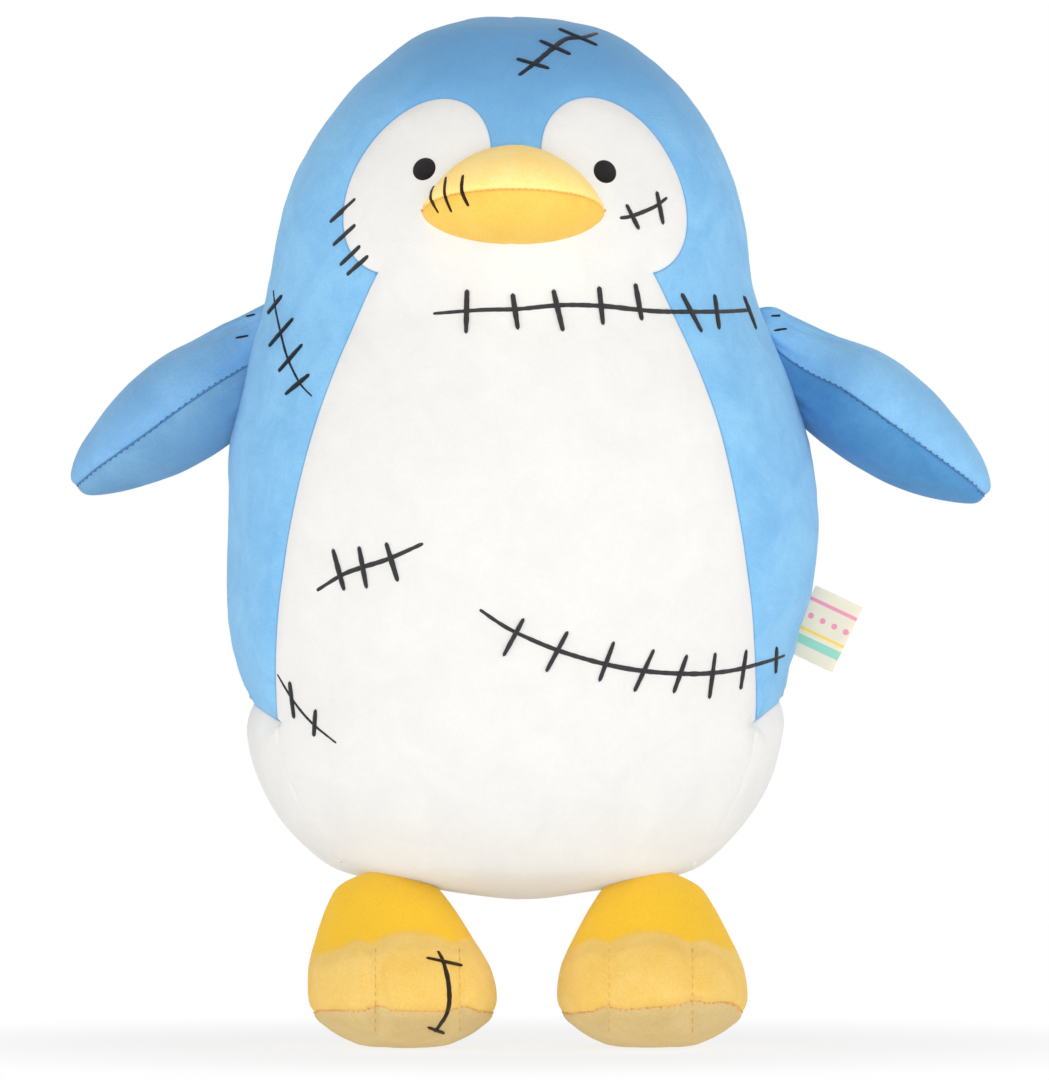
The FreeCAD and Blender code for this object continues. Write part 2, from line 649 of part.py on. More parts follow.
half_label = "( ribbon + fold_gap / 2 )"
outside = doc.addObject("Sketcher::SketchObject", "label_outside")
slot(outside, half_label, "0", "label_reach - " + half_label)
inside = doc.addObject("Sketcher::SketchObject", "label_inside")
slot(inside, "fold_gap / 2", "2 * " + half_label, "label_reach - " + half_label)
label_shape = cut("label_shape", *[
    add("Part::Extrusion", outline.Name + "_prism", {"LengthFwd": "label_length"}, Base=outline,
        Dir=Vector(0, 0, 1), DirMode="Custom", Solid=True, Symmetric=True)
    for outline in (outside, inside)])
flank_lean = "asin((belly_height - label_height) / flank_radius)"
label_stand = ("(flank_radius + clearance + %s + label_length / 2 * sin(label_twist * 1deg) "
               "- label_length ^ 2 / (8 * flank_radius))" % half_label)
place(label_shape,
      "body_half_width - flank_radius + %s * cos(%s)" % (label_stand, flank_lean),
      "side_seam_back + body_setback",
      "belly_height - %s * sin(%s)" % (label_stand, flank_lean),
      "( %s / 1deg + label_twist )" % flank_lean)
node("side_label", label_shape)

# ---------------------------------------------------------------- check and export

doc.recompute()
for thing in doc.Objects:
    faults = {"Invalid", "Error"} & set(thing.State)
    if faults:
        raise RuntimeError("%s is %s" % (thing.Name, ", ".join(faults)))
for piece in NODES:
    if piece.Shape.isNull() or not piece.Shape.isValid():
        raise RuntimeError("%s has no valid shape" % piece.Label)

os.makedirs("parts", exist_ok=True)
for piece in NODES:
    piece.Shape.exportStep("parts/%s.step" % piece.Label)
    print("%-24s %d solids, %10.1f mm3" % (piece.Label, len(piece.Shape.Solids), piece.Shape.Volume))
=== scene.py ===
import json
import math
import bpy
import numpy as np
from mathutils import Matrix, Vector, noise
from mathutils.bvhtree import BVHTree
from mathutils.kdtree import KDTree


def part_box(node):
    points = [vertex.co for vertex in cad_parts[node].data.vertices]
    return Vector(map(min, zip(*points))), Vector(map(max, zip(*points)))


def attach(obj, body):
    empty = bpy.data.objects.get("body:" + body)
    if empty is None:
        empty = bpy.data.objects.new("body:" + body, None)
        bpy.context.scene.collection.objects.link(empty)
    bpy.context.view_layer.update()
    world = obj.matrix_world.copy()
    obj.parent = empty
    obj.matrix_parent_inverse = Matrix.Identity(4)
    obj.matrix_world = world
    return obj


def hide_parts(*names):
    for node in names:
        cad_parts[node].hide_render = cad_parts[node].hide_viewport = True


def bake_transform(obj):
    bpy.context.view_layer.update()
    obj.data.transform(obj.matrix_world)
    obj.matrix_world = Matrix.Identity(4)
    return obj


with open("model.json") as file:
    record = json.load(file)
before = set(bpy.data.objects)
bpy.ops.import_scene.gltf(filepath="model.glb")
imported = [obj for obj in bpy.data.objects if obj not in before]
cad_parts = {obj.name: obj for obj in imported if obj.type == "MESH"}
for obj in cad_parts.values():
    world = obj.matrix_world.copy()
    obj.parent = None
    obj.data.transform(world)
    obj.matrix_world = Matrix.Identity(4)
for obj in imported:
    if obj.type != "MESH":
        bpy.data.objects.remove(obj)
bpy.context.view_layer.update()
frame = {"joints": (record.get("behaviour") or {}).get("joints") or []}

mm = 0.001

# camera, level with the belly and far away on a long lens
cameraView = {"side": 3.3 * mm, "distance": 5.0, "height": 196.1 * mm, "viewHeight": 0.4194}


def makeCamera():
    data = bpy.data.cameras.new("frontCamera")
    data.sensor_fit = "VERTICAL"
    data.sensor_height = 24.0
    data.lens = data.sensor_height * cameraView["distance"] / cameraView["viewHeight"]
    data.clip_end = 50.0
    camera = bpy.data.objects.new("frontCamera", data)
    camera.location = (cameraView["side"], -cameraView["distance"], cameraView["height"])
    camera.rotation_euler = (math.radians(90), 0, 0)
    bpy.context.scene.collection.objects.link(camera)
    bpy.context.scene.camera = camera


makeCamera()
print("camera set")


# small helpers for working as in the viewport

def deselectAll():
    if bpy.context.object and bpy.context.object.mode != "OBJECT":
        bpy.ops.object.mode_set(mode="OBJECT")
    bpy.ops.object.select_all(action="DESELECT")


def pick(piece):
    deselectAll()
    bpy.context.view_layer.objects.active = piece
    piece.select_set(True)
    return piece


def copyOf(piece, name):
    twin = piece.copy()
    twin.data = piece.data.copy()
    twin.name = twin.data.name = name
    bpy.context.scene.collection.objects.link(twin)
    return twin


def removePiece(piece):
    bpy.data.objects.remove(piece, do_unlink=True)


def applyModifier(piece, kind, **settings):
    pick(piece)
    modifier = piece.modifiers.new(kind.lower(), kind)
    for key, value in settings.items():
        setattr(modifier, key, value)
    bpy.ops.object.modifier_apply(modifier=modifier.name)


def getPoints(piece):
    points = np.empty(len(piece.data.vertices) * 3)
    piece.data.vertices.foreach_get("co", points)
    return points.reshape(-1, 3)


def setPoints(piece, points):
    piece.data.vertices.foreach_set("co", np.asarray(points, dtype=np.float64).ravel())
    piece.data.update()


def getNormals(piece):
    normals = np.empty(len(piece.data.vertices) * 3)
    piece.data.vertices.foreach_get("normal", normals)
    return normals.reshape(-1, 3)


def setMask(piece, name, values):
    layer = piece.data.attributes.new(name, "FLOAT", "POINT")
    layer.data.foreach_set("value", np.asarray(values, dtype=np.float32))


def smoothLine(points, steps):
    # points on a Catmull-Rom line through a few given ones, evenly spaced along it
    points = np.array(points, dtype=float)
    ends = np.vstack([2 * points[0] - points[1], points, 2 * points[-1] - points[-2]])
    dense = []
    for a, b, c, d in zip(ends, ends[1:], ends[2:], ends[3:]):
        for t in np.linspace(0, 1, 24, endpoint=False):
            dense.append(0.5 * (2 * b + (c - a) * t + (2 * a - 5 * b + 4 * c - d) * t ** 2
                                + (3 * b - a - 3 * c + d) * t ** 3))
    dense = np.array(dense + [points[-1]])
    run = np.concatenate([[0], np.cumsum(np.linalg.norm(np.diff(dense, axis=0), axis=1))])
    even = np.linspace(0, run[-1], steps)
    return np.column_stack([np.interp(even, run, dense[:, i]) for i in range(dense.shape[1])])


def ease(low, high, value):
    t = np.clip((value - low) / (high - low), 0, 1)
    return t * t * (3 - 2 * t)


def softNoise(points, spacing, seed):
    # smooth lumps of about one unit, a spacing apart, the same on every run
    shifted = np.asarray(points) / spacing + np.array([seed * 7.3, seed * -3.1, seed * 5.7])
    return np.array([noise.noise(Vector(p)) for p in shifted])


def roundBlank(name, *cuts):
    # a cube cut finely and rounded to a ball of even square faces
    deselectAll()
    bpy.ops.mesh.primitive_cube_add(size=2)
    blank = bpy.context.object
    blank.name = blank.data.name = name
    bpy.ops.object.mode_set(mode="EDIT")
    bpy.ops.mesh.select_all(action="SELECT")
    for number in cuts:
        bpy.ops.mesh.subdivide(number_cuts=number)
    bpy.ops.object.mode_set(mode="OBJECT")
    points = np.tan(getPoints(blank) * math.pi / 4)
    setPoints(blank, points / np.linalg.norm(points, axis=1)[:, None])
    return blank


def rimOf(piece):
    # the points along a cut edge
    faceCount = {}
    for face in piece.data.polygons:
        for key in face.edge_keys:
            faceCount[key] = faceCount.get(key, 0) + 1
    return sorted({point for key, count in faceCount.items() if count == 1 for point in key})


def halve(piece, place, direction, keepFront):
    # cut along a plane and keep the side that the direction points to, or the other
    pick(piece)
    bpy.ops.object.mode_set(mode="EDIT")
    bpy.ops.mesh.select_all(action="SELECT")
    bpy.ops.mesh.bisect(plane_co=place, plane_no=direction,
                        clear_inner=keepFront, clear_outer=not keepFront)
    bpy.ops.object.mode_set(mode="OBJECT")
    return piece


def treeOf(points):
    tree = KDTree(len(points))
    for number, point in enumerate(points):
        tree.insert(point, number)
    tree.balance()
    return tree


def nearest(tree, points):
    # distance to the nearest stored point, and its number
    found = [tree.find(point) for point in points]
    return np.array([f[2] for f in found]), np.array([f[1] for f in found])


# torso

axisY = (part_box("torso_filling")[0][1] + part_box("torso_filling")[1][1]) / 2
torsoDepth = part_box("back_left_panel")[1][1] - axisY

torso = {
    # half of the front, in mm across and up
    "outline": [(0, 400), (20, 398.2), (39.6, 392.2), (60.6, 376.9), (73.6, 361), (82.2, 345.6),
                (88.2, 330), (91.8, 314.5), (94.2, 299), (97.6, 284), (103.8, 267), (109.6, 248),
                (113.6, 229), (115.1, 206), (114.8, 182), (112.6, 160), (108.4, 145), (105.2, 134),
                (104.4, 120), (100.2, 104.8), (91.8, 89), (80.4, 76), (69, 67.6), (51, 62.8), (30, 59.8),
                (13, 57.6), (0, 56.6)],
    # height, and how far the left and right sides stand out from that outline where the filling is uneven
    "uneven": [(400, 0, 0), (380, -0.6, -1.4), (355, -1.2, -0.6), (325, -2.2, 0.8), (295, -3, 2.3),
               (255, 0, -1), (200, 2.2, -2.7), (175, 0.5, -2.2), (160, -2.6, -1.5), (146, -2.4, -0.6),
               (130, 0, -0.4), (112, -0.6, 0), (55, 0, 0)],
    "sideSeamBack": 6 * mm,
    "waistHeight": 130.5 * mm,  # at the middle of the sides
    "waistSlope": 0.09,  # lower towards the front
    "base": (74 * mm, 60 * mm),
    "cloth": 1.5 * mm,
    "lump": 1.2 * mm,
    "dimple": 0.35 * mm,
    "seamWidth": 8 * mm,
    "seamDepth": 1.3 * mm,
    "whiteFlatter": 0.75,  # share by which seams between white panels are shallower
    "whiteBelow": (126 * mm, 112 * mm),
    "waistDepth": 3.0 * mm,
    "waistWidth": 12 * mm,
    "dartDepth": 0.52 * mm,
    "pucker": 0.65 * mm,
    "crownDart": (-2 * mm, 388 * mm),  # across, and where it ends
    # how far the waist seam rides up at each side and turns down in front
    "waistTurn": {"left": (5.0 * mm, 1.2 * mm), "right": (3.4 * mm, 0.6 * mm),
                  "between": (92 * mm, 104 * mm), "height": 128 * mm, "spread": 14 * mm},
    # painted shade over the crown: how deep at most, between which heights, and how much it fades down each
    # side
    "crownShade": {"most": 0.88, "between": (322 * mm, 392 * mm), "leftFade": 0.15, "rightFade": 0.75},
}
torsoWidest = max(half for half, height in torso["outline"]) * mm
depthRatio = torsoDepth / torsoWidest

front = {
    "lobeCentre": (38.7, 334.0), "lobeHalves": (37.6, 24.6), "lobeLean": 32.2,
    "peak": 341,
    "side": [(47.5, 310), (54.2, 299), (63.0, 281), (72.3, 260), (79.5, 240), (84.6, 220), (88.6, 200),
             (91.4, 180), (93.6, 160), (94.3, 143), (93.6, 125), (89.5, 107), (81, 88), (68, 70),
             (52, 55), (36, 40)],
}

cutMarker = bpy.data.materials.new("cutMarker")
clothMarker = bpy.data.materials.new("clothMarker")


def shapeTorso(blank):
    points = getPoints(blank)
    line = smoothLine(torso["outline"], 801) * mm
    turn = np.arccos(np.clip(points[:, 2], -1, 1)) / math.pi * 800
    half = np.interp(turn, range(801), line[:, 0])
    height = np.interp(turn, range(801), line[:, 1])
    around = np.hypot(points[:, 0], points[:, 1]) + 1e-9
    uneven = np.array(torso["uneven"])[::-1] * mm
    leftOut = np.interp(height, uneven[:, 0], uneven[:, 1])
    rightOut = np.interp(height, uneven[:, 0], uneven[:, 2])
    across = points[:, 0] / around
    stretch = np.where(across > 0, leftOut, rightOut) * across * np.abs(across)
    setPoints(blank, np.column_stack([half * across + stretch,
                                      axisY + half * depthRatio * points[:, 1] / around, height]))


def frontShapes():
    # outlines, in mm across and up: two face lobes, and the belly with the blue peak above it
    lean = math.radians(front["lobeLean"])
    shapes = []
    for side in (1, -1):
        lobe = []
        for step in range(160):
            t = step / 160 * 2 * math.pi
            along, across = front["lobeHalves"][0] * math.cos(t), front["lobeHalves"][1] * math.sin(t)
            lobe.append((side * (front["lobeCentre"][0] - along * math.sin(lean) + across * math.cos(lean)),
                         front["lobeCentre"][1] + along * math.cos(lean) + across * math.sin(lean)))
        shapes.append(lobe)
    right = smoothLine(front["side"], 160)
    shapes.append([(0, front["peak"])] + [tuple(p) for p in right] + [(-x, z) for x, z in right[::-1]])
    return shapes


def towardCamera(points):
    # draws a straight block in towards the camera, so that its edges look as they are drawn
    middle = np.array([cameraView["side"], 0, cameraView["height"]])
    shrink = 1 + points[:, 1] / cameraView["distance"]
    return np.column_stack([middle[0] + (points[:, 0] - middle[0]) * shrink, points[:, 1],
                            middle[2] + (points[:, 2] - middle[2]) * shrink])


def makePrism(name, corners, push):
    # a flat outline pushed along one way into a closed block
    mesh = bpy.data.meshes.new(name)
    mesh.from_pydata(corners, [], [list(range(len(corners)))])
    prism = bpy.data.objects.new(name, mesh)
    bpy.context.scene.collection.objects.link(prism)
    pick(prism)
    bpy.ops.object.mode_set(mode="EDIT")
    bpy.ops.mesh.select_all(action="SELECT")
    bpy.ops.mesh.extrude_region_move(TRANSFORM_OT_translate={"value": push})
    bpy.ops.mesh.select_all(action="SELECT")
    bpy.ops.mesh.normals_make_consistent(inside=False)
    bpy.ops.object.mode_set(mode="OBJECT")
    mesh.materials.append(cutMarker)
    return prism


def cutWith(piece, cutter, operation):
    applyModifier(piece, "BOOLEAN", object=cutter, operation=operation, solver="MANIFOLD")


def dropWalls(piece):
    # takes away the faces that a cutter left
    names = [slot.name for slot in piece.material_slots]
    walls = names.index("cutMarker")
    pick(piece)
    bpy.ops.object.mode_set(mode="EDIT")
    bpy.ops.mesh.select_all(action="DESELECT")
    bpy.ops.object.mode_set(mode="OBJECT")
    for face in piece.data.polygons:
        face.select = face.material_index == walls
    bpy.ops.object.mode_set(mode="EDIT")
    bpy.ops.mesh.delete(type="FACE")
    bpy.ops.mesh.select_all(action="SELECT")
    bpy.ops.mesh.remove_doubles(threshold=0.00005)
    bpy.ops.object.mode_set(mode="OBJECT")
    piece.data.materials.clear()
    return piece


torsoForm = roundBlank("torsoForm", 63, 1)
shapeTorso(torsoForm)
torsoForm.data.materials.append(clothMarker)

frontBlocks = [makePrism("frontBlock", [(x * mm, -0.3, z * mm) for x, z in shape], (0, 0.29 + axisY, 0))
               for shape in frontShapes()]
frontCutter = frontBlocks.pop()
for lobe in frontBlocks:
    applyModifier(frontCutter, "BOOLEAN", object=lobe, operation="UNION", solver="EXACT")
    removePiece(lobe)
setPoints(frontCutter, towardCamera(getPoints(frontCutter)))
baseHalfWidth, baseHalfDepth = torso["base"]
baseCutter = makePrism("baseCutter", [(baseHalfWidth * math.cos(t), axisY + baseHalfDepth * math.sin(t), 0)
                                      for t in np.linspace(0, 2 * math.pi, 120, endpoint=False)],
                       (0, 0, 0.1))

around = copyOf(torsoForm, "around")
cutWith(around, baseCutter, "DIFFERENCE")
basePanel = copyOf(torsoForm, "basePanel")
cutWith(basePanel, baseCutter, "INTERSECT")
frontPanel = copyOf(around, "frontPanel")
cutWith(frontPanel, frontCutter, "INTERSECT")
cutWith(around, frontCutter, "DIFFERENCE")
for piece in (basePanel, frontPanel, around):
    dropWalls(piece)
for cutter in (frontCutter, baseCutter):
    removePiece(cutter)

seamY = axisY + torso["sideSeamBack"]
waistPlace = (0, seamY, torso["waistHeight"])
waistUp = Vector((0, -torso["waistSlope"], 1)).normalized()
blueCloth = halve(copyOf(around, "blueCloth"), waistPlace, waistUp, True)
whiteCloth = halve(copyOf(around, "whiteCloth"), waistPlace, waistUp, False)
hoodPanel = halve(copyOf(blueCloth, "hoodPanel"), (0, seamY, 0), (0, 1, 0), False)
backCloth = halve(copyOf(blueCloth, "backCloth"), (0, seamY, 0), (0, 1, 0), True)
backLeftPanel = halve(copyOf(backCloth, "backLeftPanel"), (0, 0, 0), (1, 0, 0), True)
backRightPanel = halve(copyOf(backCloth, "backRightPanel"), (0, 0, 0), (1, 0, 0), False)
lowerLeftPanel = halve(copyOf(whiteCloth, "lowerLeftPanel"), (0, 0, 0), (1, 0, 0), True)
lowerRightPanel = halve(copyOf(whiteCloth, "lowerRightPanel"), (0, 0, 0), (1, 0, 0), False)
for piece in (around, blueCloth, whiteCloth, backCloth):
    removePiece(piece)
torsoPanels = {
    "front_panel": frontPanel, "hood_panel": hoodPanel, "base_panel": basePanel,
    "back_left_panel": backLeftPanel, "back_right_panel": backRightPanel,
    "lower_left_panel": lowerLeftPanel, "lower_right_panel": lowerRightPanel,
}
print("torso cut into", len(torsoPanels), "panels")


def seamPointsOf(pieces):
    points = []
    for piece in pieces:
        places = getPoints(piece)
        points.extend(places[rimOf(piece)])
    return np.array(points)


def pullSeams(points, seamPoints, depths, widths, pucker, seed):
    # how far each point goes in: a rounded valley along each seam, with puckers square to it
    distance, number = nearest(treeOf(seamPoints), points)
    depthHere = np.broadcast_to(depths, len(seamPoints))[number]
    width = np.broadcast_to(widths, len(seamPoints))[number]
    closeness = np.clip(1 - distance / width, 0, 1)
    near = seamPoints[number]
    gathers = softNoise(near, 5.5 * mm, seed) + 0.6 * softNoise(near, 11 * mm, seed + 1)
    wide = np.clip(1 - distance / (width * 1.9), 0, 1)
    depth = depthHere * closeness ** 2 + pucker * gathers * wide ** 1.5 * (1 - closeness ** 6)
    return depth, distance


def skinOf(form):
    # where a whole form's skin lies and which way it faces, to push its cloth in and out from
    return treeOf(getPoints(form)), getNormals(form)


def sewCloth(piece, points, skin, seamPoints, depths, widths, pucker, seed, lumps):
    # lays the cloth on its points, lumpy where it is full and drawn in along its seams, and gives how
    # far each point is from a seam
    depth, distance = pullSeams(points, seamPoints, depths, widths, pucker, seed)
    skinTree, skinNormals = skin
    normals = skinNormals[nearest(skinTree, points)[1]]
    setPoints(piece, points + normals * (lumps - depth)[:, None])
    return distance


dartX, dartLow = torso["crownDart"]
seamPoints = seamPointsOf(torsoPanels.values())
onWaist = np.abs((seamPoints - np.array(waistPlace)) @ np.array(waistUp)) < 1 * mm
bodyPoints = getPoints(torsoForm)
dart = bodyPoints[(np.abs(bodyPoints[:, 0] - dartX) < 1.2 * mm)
                  & (bodyPoints[:, 1] < seamY) & (bodyPoints[:, 2] > dartLow)]
dart[:, 0] = dartX
seamDepths = torso["seamDepth"] * (1 - torso["whiteFlatter"] * ease(*torso["whiteBelow"], seamPoints[:, 2]))
seamDepths[onWaist] = torso["waistDepth"]
seamWidths = np.where(onWaist, torso["waistWidth"], torso["seamWidth"])
seamPoints = np.vstack([seamPoints, dart])
seamDepths = np.concatenate([seamDepths, np.full(len(dart), torso["dartDepth"])])
seamWidths = np.concatenate([seamWidths, np.full(len(dart), torso["seamWidth"])])
torsoSkin = skinOf(torsoForm)


def bendWaist(points):
    # at its front ends the waist seam turns down, and at the sides it rides up
    turn = torso["waistTurn"]
    outer = ease(*turn["between"], np.abs(points[:, 0]))
    (leftUp, leftDown), (rightUp, rightDown) = turn["left"], turn["right"]
    rise = np.where(points[:, 0] > 0, leftUp * outer - leftDown, rightUp * outer - rightDown)
    return rise * np.exp(-((points[:, 2] - turn["height"]) / turn["spread"]) ** 2)


def crownShade(points):
    # painted shade: the pile is painted a deeper colour over the crown, which faces up away from the lamps,
    # and less so down the sides of the head
    paintedShade = torso["crownShade"]
    sides = 1 - (paintedShade["rightFade"] * ease(-25 * mm, -80 * mm, points[:, 0])
                 + paintedShade["leftFade"] * ease(30 * mm, 80 * mm, points[:, 0]))
    return paintedShade["most"] * sides * ease(*paintedShade["between"], points[:, 2]) * ease(60 * mm, 0, points[:, 1])


def pullTorso(piece):
    points = getPoints(piece)
    lumps = torso["lump"] * softNoise(points, 55 * mm, 1) + torso["dimple"] * softNoise(points, 21 * mm, 2)
    distance = sewCloth(piece, points, torsoSkin, seamPoints, seamDepths, seamWidths,
                        torso["pucker"], 3, lumps)
    sewn = getPoints(piece)
    sewn[:, 2] += bendWaist(points)
    setPoints(piece, sewn)
    # the seams show less where white meets white, and along the dart
    inDart = ((np.abs(points[:, 0] - dartX) < 4 * mm)
              & (points[:, 2] > 380 * mm) & (points[:, 1] < seamY - 2 * mm))
    setMask(piece, "seam", distance / mm + 0.8 * ease(126 * mm, 114 * mm, points[:, 2]) + 0.7 * inDart)
    setMask(piece, "paintedShade", crownShade(points))


def makeCover(piece, thickness):
    # gives the cloth its thickness and smooth shading
    applyModifier(piece, "SOLIDIFY", thickness=thickness, offset=-1, use_rim=True)
    pick(piece)
    bpy.ops.object.shade_smooth_by_angle(angle=math.radians(50))


def finishPiece(piece, body, nodes):
    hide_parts(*nodes)
    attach(piece, body)


for nodeName, piece in torsoPanels.items():
    pullTorso(piece)
    makeCover(piece, torso["cloth"])
removePiece(torsoForm)
print("torso panels sewn")


# wings

wing = {
    "hinge": (101 * mm, 268 * mm),
    "droop": 32,  # of the line that the root bends along
    # how each is sewn on: out and up from the hinge, droop, length, and extra height at the root
    "sewn": {"Left": (2.0 * mm, 0.4 * mm, 33, 1.0, -2.4 * mm),
             "Right": (-7.5 * mm, 1.0 * mm, 32, 0.96, 1.2 * mm)},
    # outlines, in mm along from the hinge and up
    "top": [(-24, 3), (-14, 14), (-4.3, 15.8), (5, 17), (14, 18.9), (25, 21.3), (40, 22.2), (55, 20.6),
            (70, 16.8), (82, 12.4), (91, 7.2), (97, 1.2), (98, -3)],
    "bottom": [(-24, 3), (-14, -7), (-4, -12.5), (12, -17.5), (28, -19.9), (45, -21), (60, -20), (76, -16.4),
               (88, -11.6), (95, -7.6), (98, -3)],
    "chord": 1.42,  # its depth from front to back over its height
    "keenness": 1.85,  # 2 is a round section, and less is pointed along its seams
    "rootPinch": 0.55,
    "pinchEnd": 34 * mm,
    "cloth": 1.2 * mm,
    "seamDepth": 1.5 * mm,
    "seamWidth": 6 * mm,
    "pucker": 0.35 * mm,
    "gathers": 2.2 * mm,
    "gathersEnd": 40 * mm,
    "lump": 0.7 * mm,
    "dimple": 0.25 * mm,
    "stitch": (1.8 * mm, 1.2 * mm, 0.42 * mm),  # length, gap and width
    "bendEnd": 24 * mm,
}


def shapeWing(points, side, sewn):
    # along is from the root to the tip; up and back are across the wing
    shiftOut, shiftUp, droop, stretch, rootRise = sewn
    top = smoothLine(wing["top"][::-1], 401) * mm
    top[:, 1] += rootRise * (1 - ease(8 * mm, 32 * mm, top[:, 0]))
    bottom = smoothLine(wing["bottom"][::-1], 401) * mm
    turn = np.arccos(np.clip(points[:, 0], -1, 1)) / math.pi * 400
    topAt = np.column_stack([np.interp(turn, range(401), top[:, i]) for i in (0, 1)])
    bottomAt = np.column_stack([np.interp(turn, range(401), bottom[:, i]) for i in (0, 1)])
    ring = np.hypot(points[:, 1], points[:, 2]) + 1e-9
    up, back = points[:, 2] / ring, points[:, 1] / ring
    keen = wing["keenness"]
    spread = (np.abs(up) ** keen + np.abs(back) ** keen + 1e-9) ** (-1 / keen)
    up, back = up * spread, back * spread
    reach = (topAt - bottomAt) / 2
    flat = (topAt + bottomAt) / 2 + reach * up[:, None]
    along, height = flat[:, 0] * stretch, flat[:, 1]
    halfThick = np.linalg.norm(reach, axis=1)
    pinch = wing["rootPinch"] + (1 - wing["rootPinch"]) * ease(0, wing["pinchEnd"], along)
    across = halfThick * wing["chord"] * pinch * back
    # gathers run out from the root like folds in a drawn-up bag
    angle = np.arctan2(up, back)
    folded = np.column_stack([np.cos(angle) * 4.2, np.sin(angle) * 4.2, along / (34 * mm)])
    folds = softNoise(folded, 1.0, 11)
    fading = 1 - ease(4 * mm, wing["gathersEnd"], along)
    swell = wing["gathers"] * folds * fading / np.maximum(halfThick, 6 * mm)
    droop = math.radians(droop)
    out = along * math.cos(droop) + height * math.sin(droop) * (1 + swell)
    rise = -along * math.sin(droop) + height * math.cos(droop) * (1 + swell)
    return np.column_stack([side * (wing["hinge"][0] + shiftOut + out), seamY + across * (1 + swell),
                            wing["hinge"][1] + shiftUp + rise])


def makeWing(side, sideName):
    panels = []
    for part, keepTop in (("Upper", True), ("Lower", False)):
        half = roundBlank("wing" + sideName + part, 31, 1)
        halve(half, (0, 0, 0), (0, 0, 1), keepTop)
        panels.append(half)
    sewn = wing["sewn"][sideName]
    seamLine = shapeWing(seamPointsOf(panels[:1]), side, sewn)
    whole = roundBlank("wingForm", 31, 1)
    setPoints(whole, shapeWing(getPoints(whole), side, sewn))
    if side < 0:
        whole.data.flip_normals()
    skin = skinOf(whole)
    for half in panels:
        points = shapeWing(getPoints(half), side, sewn)
        if side < 0:
            half.data.flip_normals()
        lumps = (wing["lump"] * softNoise(points, 30 * mm, 6 + side)
                 + wing["dimple"] * softNoise(points, 12 * mm, 8))
        distance = sewCloth(half, points, skin, seamLine, wing["seamDepth"], wing["seamWidth"],
                            wing["pucker"], 5, lumps)
        setMask(half, "seam", distance / mm)
        makeCover(half, wing["cloth"])
    removePiece(whole)
    return panels, seamLine


wingPanels = {}
wingSeams = {}
for side, sideName in ((1, "Left"), (-1, "Right")):
    wingPanels[sideName], wingSeams[sideName] = makeWing(side, sideName)
print("wings shaped")


# feet

foot = {
    "middle": (48.5 * mm, -20.8 * mm),
    # how each stands, in mm: out at the sole, more at the top, toes out, seam up, and seam tilt
    "stance": {"Left": (4.0, 0, -1.3, 2.6, 2.6), "Right": (-5.2, 6.4, -7.0, 1.2, -0.6)},
    # sections in mm, from the top down: height, half width, reach forward and reach back
    "sections": [(69, 0.1, 6, -4), (67.5, 8, 13, 4), (62.5, 18, 24, 14), (56, 23, 33, 24), (48, 27.5, 41, 33),
                 (42, 30.5, 47, 42), (37, 33, 53, 50), (30, 35.6, 58.5, 56), (20, 36.7, 61.5, 60),
                 (11, 35, 60, 58), (5, 30, 56, 53), (2, 25, 52, 49), (0.2, 18, 46, 45)],
    "seamHeight": 13 * mm,
    "seamRise": 1.6 * mm,  # at the toe lines
    "toeLines": 15.7 * mm,
    "toePuff": 7.5 * mm,
    "toeLineDepth": 2.0 * mm,
    "toeLineWidth": 4.4 * mm,
    "instepBack": 1.5 * mm,
    # where the puffed toes end, in mm: height and fall of the middle toe, and height, rise and fall of
    # the outer ones
    "toeArches": (45, 4.5, 40.5, 1.2, 5),
    "spring": 5.2 * mm,  # how far the rim of the sole curls up
    "cloth": 1.2 * mm,
    "seamDepth": 1.3 * mm,
    "seamWidth": 6 * mm,
    "pucker": 0.3 * mm,
    "lump": 0.6 * mm,
    "stitch": (2.0 * mm, 1.4 * mm, 0.5 * mm),  # length, gap and width
}
footSteps = {"side": 300, "under": 30}  # of the run from the top of a foot to the middle under its sole


def footSection(points):
    # a ball point's place on the foot, about the middle of the sole
    sideSteps, underSteps = footSteps["side"], footSteps["under"]
    line = smoothLine(np.array(foot["sections"]) * mm, sideSteps + 1)
    drop = np.arccos(np.clip(points[:, 2], -1, 1)) / math.pi * (sideSteps + underSteps)
    place = np.minimum(drop, sideSteps)
    height, half, ahead, behind = [np.interp(place, range(sideSteps + 1), line[:, i]) for i in range(4)]
    # under the sole the sections only shrink to the middle
    shrink = 1 - np.clip((drop - sideSteps) / underSteps, 0, 1)
    around = np.hypot(points[:, 0], points[:, 1]) + 1e-9
    across, forward = points[:, 0] / around, -points[:, 1] / around
    centre = (ahead - behind) / 2
    reach = (ahead + behind) / 2
    return half * across * shrink, -(centre + reach * forward) * shrink, height * (0.3 + 0.7 * shrink)


def toeEdge(x):
    # height where the puffed toes end: an arch over each toe
    middleTop, middleFall, outerTop, outerRise, outerFall = foot["toeArches"]
    along = np.abs(x) / foot["toeLines"]
    middle = middleTop - middleFall * np.minimum(along, 1) ** 2
    outer = (outerTop + outerRise * np.sin(np.clip((along - 1) / 0.8, 0, 1) * math.pi)
             - outerFall * np.clip(along - 1.4, 0, 1))
    return np.where(along < 1, middle, outer) * mm


